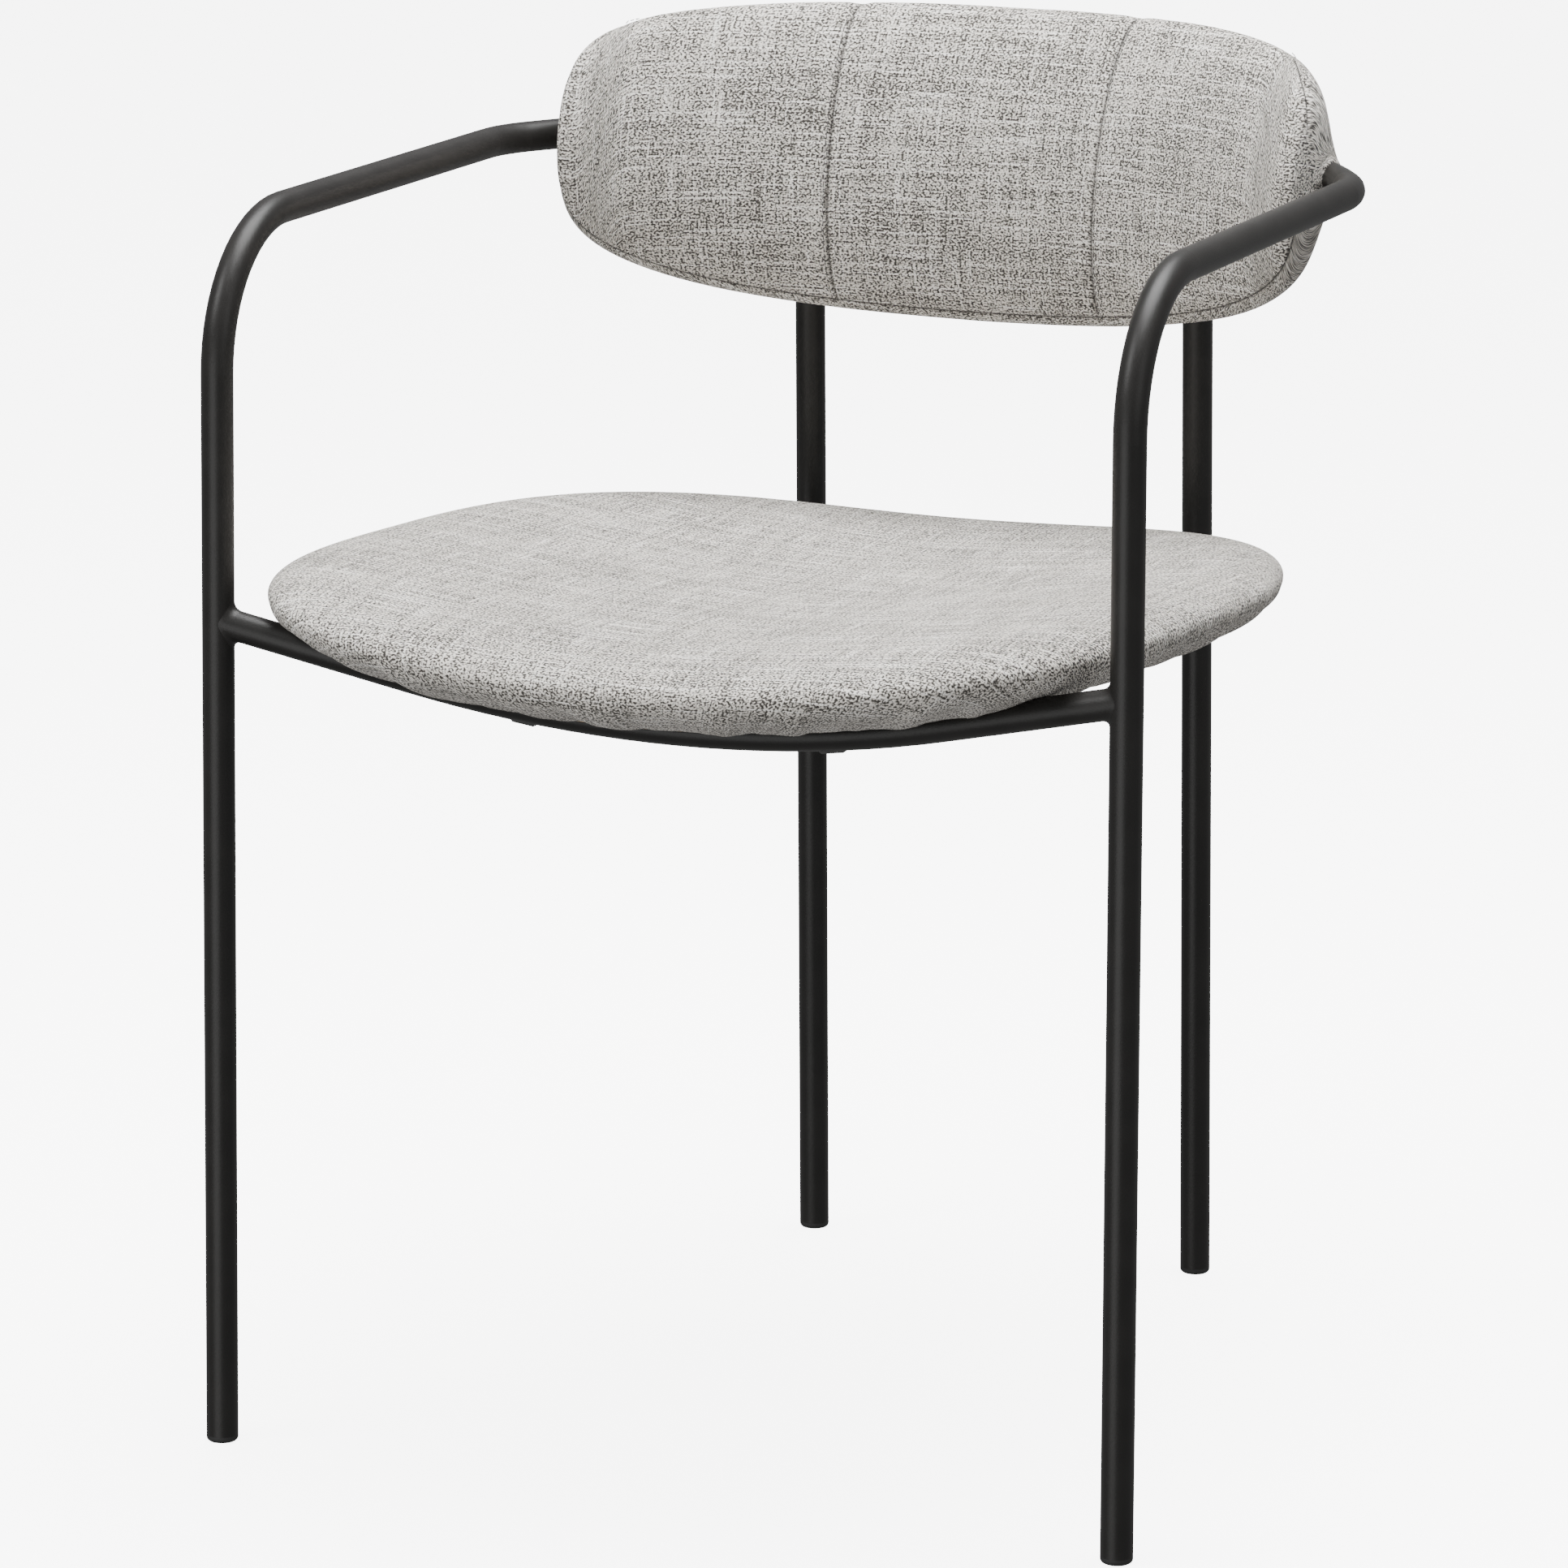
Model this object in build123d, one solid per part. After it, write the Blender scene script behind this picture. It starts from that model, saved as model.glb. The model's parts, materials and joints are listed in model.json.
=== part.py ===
from build123d import *
import os
from math import acos, atan2, cos, degrees, hypot, pi, radians, sin, sqrt, tan

"""Dining armchair: a welded round-tube frame, a dished upholstered seat and a curved upholstered back.

Built with Y = 0 on the front legs' axes, Y increasing towards the back and Z = 0 on the floor. The last
step moves everything so that the origin is the middle of the footprint box, on the floor. Millimetres.
"""

# ---- tube frame ----
TUBE_DIAMETER = 18.0        # legs, arms and back hoop
TUBE_WALL = 1.5
ARM_SPACING = 528.0         # between the two arms' axes
FOOT_SPACING = 536.0        # between the front feet's axes on the floor
ARM_HEIGHT = 690.0          # arm axis above the floor, where it meets the line of the leg
ARM_RISE = 0.64             # degrees that each arm rises towards the back
ARM_BEND_RADIUS = 81.5      # leg to arm, on the axis
HOOP_BEND_RADIUS = 70.0     # arm to back hoop, on the axis
HOOP_RADIUS = 291.0         # back hoop, on the axis
HOOP_DEPTH = 537.5          # front legs' axes to the hoop's rearmost axis point
REAR_LEG_SPACING = 246.6    # between the rear legs' axes under the hoop
REAR_FOOT_SPACING = 251.4   # between the rear feet's axes on the floor
REAR_FOOT_DEPTH = 538.0     # front legs' axes to the rear feet's axes

# ---- seat frame ----
RAIL_DIAMETER = 17.0        # front rail
RAIL_HEIGHT = 472.0         # where the rail's axis meets the legs
RAIL_DROP = 43.5            # the middle of the rail is lower than its ends by this
RAIL_SETBACK = 25.0         # and further back by this
RAIL_BEND_RADIUS = 600.0
BEARER_DIAMETER = 16.0      # the tubes under the seat, and the rear rail
BEARER_SPACING = 180.0
BEARER_GAP = 2.0            # under the seat shell

# ---- glides ----
GLIDE_HEIGHT = 3.8
GLIDE_EDGE_RADIUS = 2.6
GLIDE_STEM_LENGTH = 22.0
GLIDE_STEM_CLEARANCE = 0.1

# ---- welds ----
WELD_SIZE = 2.5
WELD_AIR = 0.05             # between a bead and its tubes
WELD_REACH = 40.0           # length of rail next to a joint that a bead can touch

# ---- seat ----
SEAT_WIDTH = 518.0
SEAT_CENTRE_DEPTH = 186.0   # front legs' axes to the seat's widest line
SEAT_FRONT_LENGTH = 259.0   # widest line to the front edge
SEAT_REAR_LENGTH = 292.0    # widest line to the rear edge
SEAT_FRONT_SQUARENESS = 3.6
SEAT_REAR_SQUARENESS = 2.55
SEAT_TILT = 2.83            # degrees, lower at the back
SEAT_DISH_RADIUS = 1060.0   # side to side
SEAT_CURL_RADIUS = 2190.0   # front to back, behind the widest line
SEAT_THICKNESS = 46.5
SEAT_DISH_DEPTH = 60.0      # cutting depth under the shell, beyond any rise of the dish
SHEET_MARGIN = 1.2          # a dished sheet is this many times the seat's size before it is trimmed
SEAT_TOP_EDGE_RADIUS = 17.0
SEAT_LOWER_EDGE_RADIUS = 9.0
SEAT_LOWER_RIM = 0.9        # share of the thickness below which a rim edge is a lower one
SEAT_SHELL_INSET = 40.0     # shell edge inside the seat's edge
SEAT_SHELL_THICKNESS = 10.0
SEAT_SHELL_REST = 1.1       # the shell rests on the rail at this share of the rail's bend
SEAT_BOLT_FRONT = 90.0      # bolts in front of the widest line
SEAT_BOLT_REAR = 205.0      # bolts behind the widest line

# ---- back ----
BACK_HALF_LENGTH = 262.0    # along the curve, from the middle to an end
BACK_HALF_HEIGHT = 93.5
BACK_CURVE_RADIUS = 310.0
BACK_DEPTH = 497.0          # front legs' axes to the middle of the back's rim
BACK_HEIGHT = 679.0         # middle of the back above the floor
BACK_RECLINE = 13.2         # degrees
BACK_FRONT_CROWN = 46.0
BACK_REAR_CROWN = 54.0
BACK_END_EXPONENT = 2.15    # squareness of the outline towards its ends
BACK_SIDE_EXPONENT = 4.26   # squareness of the outline towards its top and bottom
BACK_SEAM_SPACING = 172.0   # between the two upright seams of the front cover
BACK_PANEL_INSET = 16.0
BACK_PANEL_THICKNESS = 9.0
BACK_PANEL_OFFSET = 2.5     # panel's front face behind the rim curve
BACK_SLEEVE_SPAN = 458.0    # cloth sleeve round the hoop, from end to end
BACK_SLEEVE_RADIUS = 12.5
BACK_BOLT_PLACES = (60.0, 190.0)    # from the middle, on each side
BACK_CROWN_POWER = 0.75     # how fast the crowns thin towards the ends
BACK_SECTIONS = 7           # sections from the middle to an end
BACK_LAST_SECTION = 84.0    # degrees: the last section's share of the length is this angle's sine

# ---- cloth and fasteners ----
CLOTH = 1.4
LINING = 0.8
GAP = 0.25                  # air left between pieces that only touch
BOLT_DIAMETER = 6.0
BOLT_HEAD_DIAMETER = 10.5
BOLT_HEAD_HEIGHT = 3.0
BOLT_CLEARANCE = 0.3        # on the radius, in drilled holes
NUT_BARREL_DIAMETER = 8.0
NUT_FLANGE_DIAMETER = 17.0
NUT_FLANGE_THICKNESS = 1.3
NUT_BARREL_LENGTH = 6.0
NUT_SINK = 3.0
BOLT_FIT = 0.05             # on the radius, in a thread or a press hole
SPACER_DIAMETER = 14.0
SADDLE_RADIUS = 9.5
SADDLE_LIP = 3.0            # a saddle stops this far short of the tube's axis

OUTLINE_STEPS = 36
TUBE_RADIUS = TUBE_DIAMETER / 2
RAIL_RADIUS = RAIL_DIAMETER / 2
BEARER_RADIUS = BEARER_DIAMETER / 2
BOLT_RADIUS = BOLT_DIAMETER / 2


# ---- frames and lines ----
def leaning_plane(depth, height, lean):
    """A plane across the chair whose Z axis leans back by this many degrees."""
    angle = radians(lean)
    return Plane(origin=(0, depth, height), x_dir=(1, 0, 0), z_dir=(0, sin(angle), cos(angle)))


def mirrored(point):
    return Vector(-point.X, point.Y, point.Z)


def rod(start, end, radius):
    """A solid round bar between two points."""
    way = end - start
    return extrude(Plane(origin=start, z_dir=way) * Circle(radius), amount=way.length)


def swept(path, radius):
    """A solid round bar along a path."""
    return sweep(Plane(origin=path @ 0, z_dir=path % 0) * Circle(radius), path=path)


def joined_path(edges):
    return Wire([edge.edges()[0] for edge in edges])


def bow_sag(radius, reach):
    """How far an arc of this radius has risen at this distance from its middle."""
    return radius - sqrt(radius**2 - reach**2)


ARM_PLANE = leaning_plane(0, ARM_HEIGHT, -ARM_RISE)
LEG_TOP = Vector(ARM_SPACING / 2, 0, ARM_HEIGHT)
LEG_FOOT = Vector(FOOT_SPACING / 2, 0, 0)

HOOP_CENTRE = Vector(0, HOOP_DEPTH - HOOP_RADIUS, 0)
corner_x = ARM_SPACING / 2 - HOOP_BEND_RADIUS
corner_reach = sqrt((HOOP_RADIUS - HOOP_BEND_RADIUS) ** 2 - corner_x**2)
HOOP_CORNER = HOOP_CENTRE + Vector(corner_x, corner_reach, 0)
HOOP_JOIN_ANGLE = degrees(atan2(corner_reach, corner_x))


def hoop_point(x):
    """The point of the back hoop's axis at this x."""
    return ARM_PLANE.from_local_coords(HOOP_CENTRE + Vector(x, sqrt(HOOP_RADIUS**2 - x**2), 0))


def hoop_path():
    """Foot, leg, arm, back, arm, leg and foot, as runs joined by tangent arcs."""
    down = (LEG_FOOT - LEG_TOP).normalized()
    back = ARM_PLANE.y_dir
    bend = ARM_BEND_RADIUS * tan(radians(180 - down.get_angle(back)) / 2)
    low, high = LEG_TOP + down * bend, LEG_TOP + back * bend
    join = HOOP_JOIN_ANGLE
    arcs = [
        ARM_PLANE * CenterArc(HOOP_CORNER, HOOP_BEND_RADIUS, 0, join),
        ARM_PLANE * CenterArc(HOOP_CENTRE, HOOP_RADIUS, join, 180 - 2 * join),
        ARM_PLANE * CenterArc(mirrored(HOOP_CORNER), HOOP_BEND_RADIUS, 180 - join, join),
    ]
    return joined_path([
        Line(LEG_FOOT, low),
        TangentArc(low, high, tangent=-down),
        Line(high, arcs[0] @ 0),
        *arcs,
        Line(arcs[2] @ 1, mirrored(high)),
        TangentArc(mirrored(high), mirrored(low), tangent=-back),
        Line(mirrored(low), mirrored(LEG_FOOT)),
    ])


REAR_TOP = hoop_point(REAR_LEG_SPACING / 2)
REAR_FOOT = Vector(REAR_FOOT_SPACING / 2, REAR_FOOT_DEPTH, 0)

# The front rail lies in a sloping plane: a bend between two straight ends.
RAIL_END = LEG_FOOT + (LEG_TOP - LEG_FOOT) * (RAIL_HEIGHT / ARM_HEIGHT)
RAIL_SAG = hypot(RAIL_DROP, RAIL_SETBACK)
RAIL_PLANE = Plane(
    origin=(0, RAIL_END.Y, RAIL_END.Z), x_dir=(1, 0, 0), z_dir=(0, RAIL_DROP, RAIL_SETBACK)
)
rail_reach = hypot(RAIL_BEND_RADIUS - RAIL_SAG, RAIL_END.X)
RAIL_BEND_ANGLE = atan2(RAIL_END.X, RAIL_BEND_RADIUS - RAIL_SAG) - acos(RAIL_BEND_RADIUS / rail_reach)


def rail_point(x):
    """The point of the front rail's axis at this x."""
    sag = RAIL_SAG - bow_sag(RAIL_BEND_RADIUS, min(abs(x), RAIL_BEND_RADIUS * sin(RAIL_BEND_ANGLE)))
    if abs(x) > RAIL_BEND_RADIUS * sin(RAIL_BEND_ANGLE):
        sag = (RAIL_END.X - abs(x)) * tan(RAIL_BEND_ANGLE)
    return RAIL_PLANE.from_local_coords(Vector(x, sag, 0))


def rail_path():
    turn = degrees(RAIL_BEND_ANGLE)
    bend = RAIL_PLANE * CenterArc((0, RAIL_SAG - RAIL_BEND_RADIUS), RAIL_BEND_RADIUS, 90 - turn, 2 * turn)
    return joined_path([Line(RAIL_END, bend @ 0), bend, Line(bend @ 1, mirrored(RAIL_END))])


# The seat rests on the middle of the rail, with the lining between them.
REST = LINING + 3 * GAP
lean = radians(SEAT_TILT)
rail_crest = rail_point(0).Z + RAIL_RADIUS
seat_height = rail_crest + tan(lean) * (rail_point(0).Y - SEAT_CENTRE_DEPTH)
SEAT_PLANE = leaning_plane(SEAT_CENTRE_DEPTH, seat_height + (SEAT_THICKNESS + REST) / cos(lean), SEAT_TILT)

# The shell's dish follows the rail: it rests on its middle and on both sides of its bend.
shell_touch_x = SEAT_SHELL_REST * RAIL_BEND_RADIUS * sin(RAIL_BEND_ANGLE)
shell_touch = SEAT_PLANE.to_local_coords(rail_point(shell_touch_x))
shell_rise = shell_touch.Z + RAIL_RADIUS / cos(RAIL_BEND_ANGLE) + SEAT_THICKNESS + REST
SHELL_DISH_RADIUS = (shell_touch_x**2 + shell_rise**2) / (2 * shell_rise)

# Two bearers run back from the rail, parallel to the seat, to the rear rail between the rear legs.
BEARER_X = BEARER_SPACING / 2
BEARER_Z = bow_sag(SHELL_DISH_RADIUS, BEARER_X) - SEAT_THICKNESS - REST - BEARER_GAP - BEARER_RADIUS


def bearer_point(depth):
    """The point of the right bearer's axis at this depth behind the seat's widest line."""
    return SEAT_PLANE.from_local_coords(Vector(BEARER_X, depth, BEARER_Z))


def meeting_depth(line_point, line_way, point, way):
    """How far along the second line the two lines meet, seen from the side."""
    cross = line_way.Y * way.Z - line_way.Z * way.Y
    apart = line_point - point
    return (line_way.Y * apart.Z - line_way.Z * apart.Y) / cross


REAR_WAY = (REAR_TOP - REAR_FOOT).normalized()
BEARER_REAR = meeting_depth(REAR_FOOT, REAR_WAY, bearer_point(0), SEAT_PLANE.y_dir)
BEARER_FRONT = SEAT_PLANE.to_local_coords(rail_point(BEARER_X)).Y
rear_rail_height = bearer_point(BEARER_REAR).Z
REAR_RAIL_END = REAR_FOOT + REAR_WAY * (rear_rail_height / REAR_WAY.Z)

BACK_PLANE = leaning_plane(BACK_DEPTH, BACK_HEIGHT, BACK_RECLINE)
SIDES = {"left": -1, "right": 1}


def sided(shape, side):
    """A shape modelled for the right side, or its mirror image for the left."""
    return shape if side == "right" else mirror(shape, about=Plane.YZ)


# ---- frame ----
def floor_slab(low, high):
    """Everything between two heights."""
    return Pos(0, HOOP_DEPTH / 2, (low + high) / 2) * Box(2 * HOOP_DEPTH, 2 * HOOP_DEPTH, high - low)


def make_frame():
    """The welded tubes. Returns the nodes and the solid bars that other pieces are cut back from."""
    hoop_line, rail_line = hoop_path(), rail_path()
    front_legs = rod(LEG_FOOT, LEG_TOP, TUBE_RADIUS) + rod(mirrored(LEG_FOOT), mirrored(LEG_TOP), TUBE_RADIUS)
    bars = {
        "hoop": swept(hoop_line, TUBE_RADIUS),
        "rail": swept(rail_line, RAIL_RADIUS),
        "rear_leg": rod(REAR_FOOT, REAR_TOP, TUBE_RADIUS),
        "rear_rail": rod(mirrored(REAR_RAIL_END), REAR_RAIL_END, BEARER_RADIUS),
        "bearer": rod(bearer_point(BEARER_FRONT), bearer_point(BEARER_REAR), BEARER_RADIUS),
    }
    below = floor_slab(-TUBE_DIAMETER, GLIDE_HEIGHT)
    bore = TUBE_RADIUS - TUBE_WALL
    nodes = {
        "arm_hoop": bars["hoop"] - swept(hoop_line, bore) - below - back_bolt_holes(),
        "front_rail": bars["rail"] - swept(rail_line, RAIL_RADIUS - TUBE_WALL) - front_legs,
        "rear_rail": bars["rear_rail"] - rod(
            mirrored(REAR_RAIL_END), REAR_RAIL_END, BEARER_RADIUS - TUBE_WALL
        ),
    }
    rear_leg = bars["rear_leg"] - rod(REAR_FOOT, REAR_TOP, bore) - below - bars["hoop"]
    bearer = bars["bearer"] - rod(
        bearer_point(BEARER_FRONT), bearer_point(BEARER_REAR), BEARER_RADIUS - TUBE_WALL
    )
    bearer -= bars["rail"] + bars["rear_rail"] + seat_bolt_holes()
    for side in SIDES:
        nodes["rear_rail"] -= sided(bars["rear_leg"], side)
        nodes[f"rear_leg_{side}"] = sided(rear_leg, side)
        nodes[f"seat_bearer_{side}"] = sided(bearer, side)
    return nodes, bars


def bead(first, second):
    """Weld metal round a joint: within a bead's size of both bars, and just clear of each.

    Each bar is a function that gives it grown by a margin on its radius.
    """
    return (first(WELD_SIZE) & second(WELD_SIZE)) - first(WELD_AIR) - second(WELD_AIR)


def grown_rod(start, end, radius):
    return lambda grow: rod(start, end, radius + grow)


def make_welds():
    hoop_line = ARM_PLANE * CenterArc(HOOP_CENTRE, HOOP_RADIUS, HOOP_JOIN_ANGLE, 90 - HOOP_JOIN_ANGLE)
    hoop_line = joined_path([hoop_line])
    front_leg = grown_rod(LEG_FOOT, LEG_TOP, TUBE_RADIUS)
    rear_leg = grown_rod(REAR_FOOT, REAR_TOP, TUBE_RADIUS)
    rail_end = grown_rod(RAIL_END, rail_point(RAIL_END.X - WELD_REACH), RAIL_RADIUS)
    rail_bend = grown_rod(rail_point(BEARER_X - WELD_REACH), rail_point(BEARER_X + WELD_REACH), RAIL_RADIUS)
    bearer = grown_rod(bearer_point(BEARER_FRONT), bearer_point(BEARER_REAR), BEARER_RADIUS)
    rear_rail = grown_rod(mirrored(REAR_RAIL_END), REAR_RAIL_END, BEARER_RADIUS)
    seat = SEAT_PLANE * seat_sheet(0, SEAT_THICKNESS + REST, SHELL_DISH_RADIUS - SEAT_THICKNESS)
    under_seat = [
        largest_solids(bead(rear_rail, rear_leg), 1),
        largest_solids(bead(bearer, rear_rail), 1),
        largest_solids(bead(bearer, rail_bend) - seat, 1),
    ]
    return {
        "welds_front_rail": on_both_sides([bead(rail_end, front_leg)]),
        "welds_rear_legs": on_both_sides([bead(rear_leg, lambda grow: swept(hoop_line, TUBE_RADIUS + grow))]),
        "welds_seat_frame": on_both_sides(under_seat),
    }


def largest_solids(shape, count):
    return Compound(children=shape.solids().sort_by(lambda solid: -solid.volume)[:count])


def on_both_sides(shapes):
    """The shapes and their mirror images, as one group of separate solids."""
    solids = [solid for shape in shapes for side in SIDES for solid in sided(shape, side).solids()]
    return Compound(children=solids)


def make_glides():
    """Plastic feet: a rounded disc as wide as the tube, and a stem up inside it."""
    nodes = {}
    stem_radius = TUBE_RADIUS - TUBE_WALL - GLIDE_STEM_CLEARANCE
    for name, foot, top in (("front", LEG_FOOT, LEG_TOP), ("rear", REAR_FOOT, REAR_TOP)):
        way = (top - foot).normalized()
        low, high = foot - way * TUBE_DIAMETER, foot + way * (GLIDE_STEM_LENGTH + TUBE_DIAMETER)
        disc = rod(low, high, TUBE_RADIUS) & floor_slab(0, GLIDE_HEIGHT)
        disc = fillet(disc.edges().group_by(Axis.Z)[0], GLIDE_EDGE_RADIUS)
        stem = rod(low, high, stem_radius) & floor_slab(GLIDE_HEIGHT / 2, GLIDE_HEIGHT + GLIDE_STEM_LENGTH)
        for side in SIDES:
            nodes[f"glide_{name}_{side}"] = sided(disc + stem, side)
    return nodes


# ---- bolts ----
def seat_bolt_points():
    """Where each bolt of the right bearer crosses the bearer's axis."""
    return [bearer_point(-SEAT_BOLT_FRONT), bearer_point(SEAT_BOLT_REAR)]


def back_bolt_lines():
    """For each back bolt: its point on the hoop's axis, and its direction, out of the back's curve."""
    lines = []
    for x in BACK_BOLT_PLACES:
        point = hoop_point(x)
        local = BACK_PLANE.to_local_coords(point)
        out = Vector(local.X, local.Y + BACK_CURVE_RADIUS, 0)
        way = BACK_PLANE.from_local_coords(out.normalized()) - BACK_PLANE.origin
        lines.append((point, way, out.length - BACK_CURVE_RADIUS))
    return lines


def seat_bolt_holes():
    """Drilled holes through a bearer."""
    reach = SEAT_PLANE.z_dir * TUBE_DIAMETER
    holes = Part()
    for point in seat_bolt_points():
        holes += rod(point - reach, point + reach, BOLT_RADIUS + BOLT_CLEARANCE)
    return holes


def back_bolt_holes():
    holes = Part()
    for point, way, _ in back_bolt_lines():
        hole = rod(point - way * TUBE_DIAMETER, point + way * TUBE_DIAMETER, BOLT_RADIUS + BOLT_CLEARANCE)
        holes += hole + mirror(hole, about=Plane.YZ)
    return holes


def tee_nut(face_point, way):
    """A drive-in nut: its flange's outer face is at the point, and its barrel goes the given way."""
    flange = rod(face_point, face_point + way * NUT_FLANGE_THICKNESS, NUT_FLANGE_DIAMETER / 2)
    barrel = rod(face_point, face_point + way * NUT_BARREL_LENGTH, NUT_BARREL_DIAMETER / 2)
    bore = rod(face_point - way, face_point + way * 2 * NUT_BARREL_LENGTH, BOLT_RADIUS + BOLT_FIT)
    return flange + barrel - bore


def tee_nut_pocket(face_point, way):
    """The counterbore and hole that a drive-in nut sits in, open on the flange's side."""
    start = face_point - way * 2 * NUT_SINK
    wide = rod(start, face_point + way * (NUT_FLANGE_THICKNESS + BOLT_FIT), NUT_FLANGE_DIAMETER / 2 + GAP)
    narrow = rod(start, face_point + way * 2 * NUT_BARREL_LENGTH, NUT_BARREL_DIAMETER / 2 + BOLT_FIT)
    return wide + narrow


def bolt(tip, head_face, way):
    """A round-headed bolt from its tip to the face under its head; way points from tip to head."""
    head_end = head_face + way * BOLT_HEAD_HEIGHT
    head = rod(head_face, head_end, BOLT_HEAD_DIAMETER / 2)
    head = fillet(head.edges().sort_by(lambda edge: (edge.center() - tip).length)[-1:], BOLT_HEAD_HEIGHT / 2)
    socket = Plane(origin=head_end, z_dir=way) * RegularPolygon(BOLT_RADIUS / 2, 6)
    return head + rod(tip, head_face, BOLT_RADIUS) - extrude(socket, amount=-BOLT_HEAD_HEIGHT / 2)


# ---- seat ----
def seat_outline(grow):
    """The seat seen from above: a superellipse, squarer in front, grown by a margin."""
    half_width = SEAT_WIDTH / 2 + grow
    points = []
    for step in range(OUTLINE_STEPS):
        angle = 2 * pi * step / OUTLINE_STEPS
        front = sin(angle) < 0
        length = (SEAT_FRONT_LENGTH if front else SEAT_REAR_LENGTH) + grow
        power = SEAT_FRONT_SQUARENESS if front else SEAT_REAR_SQUARENESS
        across, along = abs(cos(angle) / half_width), abs(sin(angle) / length)
        reach = (across**power + along**power) ** (-1 / power)
        points.append((reach * cos(angle), reach * sin(angle)))
    return make_face(Spline(*points, periodic=True))


def seat_prism(grow):
    return extrude(seat_outline(grow), amount=SEAT_WIDTH / 2, both=True)


def drilled_seat_prism(grow, radius):
    """The seat's prism with a hole of this radius at each bolt."""
    face = seat_outline(grow)
    for point in seat_bolt_points():
        local = SEAT_PLANE.to_local_coords(point)
        face -= Pos(local.X, local.Y) * Circle(radius) + Pos(-local.X, local.Y) * Circle(radius)
    return extrude(face, amount=SEAT_WIDTH / 2, both=True)


def seat_sheet(top, thickness, radius):
    """A thick sheet, dished side to side and curled up behind the widest line."""
    ring = Circle(radius + thickness) - Circle(radius)
    window = Rectangle(SHEET_MARGIN * SEAT_WIDTH, SEAT_WIDTH / 2)
    window = Pos(0, SEAT_WIDTH / 4 - radius - thickness) * window
    section = Plane.XZ * (Pos(0, top + radius) * (ring & window))
    front = extrude(section, amount=SHEET_MARGIN * SEAT_FRONT_LENGTH, dir=(0, -1, 0))
    curl = degrees(SHEET_MARGIN * SEAT_REAR_LENGTH / SEAT_CURL_RADIUS)
    rear = revolve(section, axis=Axis((0, 0, SEAT_CURL_RADIUS), (1, 0, 0)), revolution_arc=curl)
    return front + rear


def seat_pad(grow):
    """The seat's soft body, grown by a margin, with rounded edges."""
    thickness = SEAT_THICKNESS + 2 * grow
    pad = seat_sheet(grow, thickness, SEAT_DISH_RADIUS - grow) & seat_prism(grow)
    rims = [edge for edge in pad.edges() if edge.bounding_box().size.Y > SEAT_THICKNESS]
    rims.sort(key=lambda edge: rim_level(edge @ 0.5))
    pad = fillet(rims[len(rims) // 2:], SEAT_TOP_EDGE_RADIUS + grow)
    rims = [edge for edge in pad.edges() if edge.bounding_box().size.Y > SEAT_THICKNESS]
    low = [edge for edge in rims if rim_level(edge @ 0.5) < -SEAT_LOWER_RIM * SEAT_THICKNESS]
    return fillet(low, SEAT_LOWER_EDGE_RADIUS + grow)


def rim_level(point):
    """A point's height over the dish of the seat's top surface."""
    curl = bow_sag(SEAT_CURL_RADIUS, max(point.Y, 0))
    return point.Z - bow_sag(SEAT_DISH_RADIUS, point.X) - curl


def under_shell(top, grow):
    """The space under a level of the shell's dish, within the shell's outline grown by a margin."""
    radius = SHELL_DISH_RADIUS - SEAT_THICKNESS - top
    return seat_sheet(top, SEAT_THICKNESS + SEAT_DISH_DEPTH, radius) & seat_prism(grow - SEAT_SHELL_INSET)


def make_seat(bars):
    shell_top = SEAT_SHELL_THICKNESS - SEAT_THICKNESS
    groove = swept(rail_path(), RAIL_RADIUS + GAP)
    skin = seat_pad(0)
    cover = skin - seat_pad(-CLOTH) - under_shell(shell_top / 2 - SEAT_THICKNESS / 2, 2 * CLOTH)
    foam = seat_pad(-CLOTH - GAP) - under_shell(shell_top + GAP, GAP)
    shell = seat_sheet(shell_top, SEAT_SHELL_THICKNESS, SHELL_DISH_RADIUS - SEAT_SHELL_THICKNESS)
    shell &= seat_prism(-SEAT_SHELL_INSET)
    lining = seat_sheet(-SEAT_THICKNESS - GAP, LINING, SHELL_DISH_RADIUS + GAP)
    lining &= drilled_seat_prism(-SEAT_SHELL_INSET - 2 * CLOTH, BOLT_RADIUS + BOLT_CLEARANCE)

    nuts, bolts, spacers = [], [], []
    up = Vector(0, 0, 1)
    for point in seat_bolt_points():
        local = SEAT_PLANE.to_local_coords(point)
        top_surface = shell_top + bow_sag(SHELL_DISH_RADIUS - SEAT_SHELL_THICKNESS, local.X)
        underside = bow_sag(SHELL_DISH_RADIUS, local.X) - SEAT_THICKNESS
        curl = bow_sag(SEAT_CURL_RADIUS, max(local.Y, 0))
        face = Vector(local.X, local.Y, top_surface + curl - NUT_SINK)
        nuts.append(tee_nut(face, -up))
        pocket = tee_nut_pocket(face, -up)
        head_face = Vector(local.X, local.Y, local.Z - BEARER_RADIUS)
        bolts.append(bolt(face - up * NUT_FLANGE_THICKNESS, head_face, -up))
        hole = rod(head_face - up * REST, face, BOLT_RADIUS + BOLT_CLEARANCE)
        spacer = rod(local, Vector(local.X, local.Y, underside + curl), SPACER_DIAMETER / 2)
        under_lining = seat_sheet(-SEAT_THICKNESS - REST, SEAT_THICKNESS, SHELL_DISH_RADIUS + REST)
        spacers.append((spacer & under_lining) - SEAT_PLANE.location.inverse() * bars["bearer"] - hole)
        for side in SIDES:
            shell -= sided(pocket, side)
    shell = largest_solids(shell, 1)
    local_nodes = {
        "seat_cover": cover, "seat_foam": foam, "seat_shell": shell, "seat_lining": lining,
        "seat_tee_nuts": on_both_sides(nuts), "seat_bolts": on_both_sides(bolts),
        "seat_spacers": on_both_sides(spacers),
    }
    nodes = {name: SEAT_PLANE * shape for name, shape in local_nodes.items()}
    for name in ("seat_cover", "seat_foam"):
        nodes[name] -= groove
    return nodes


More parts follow.
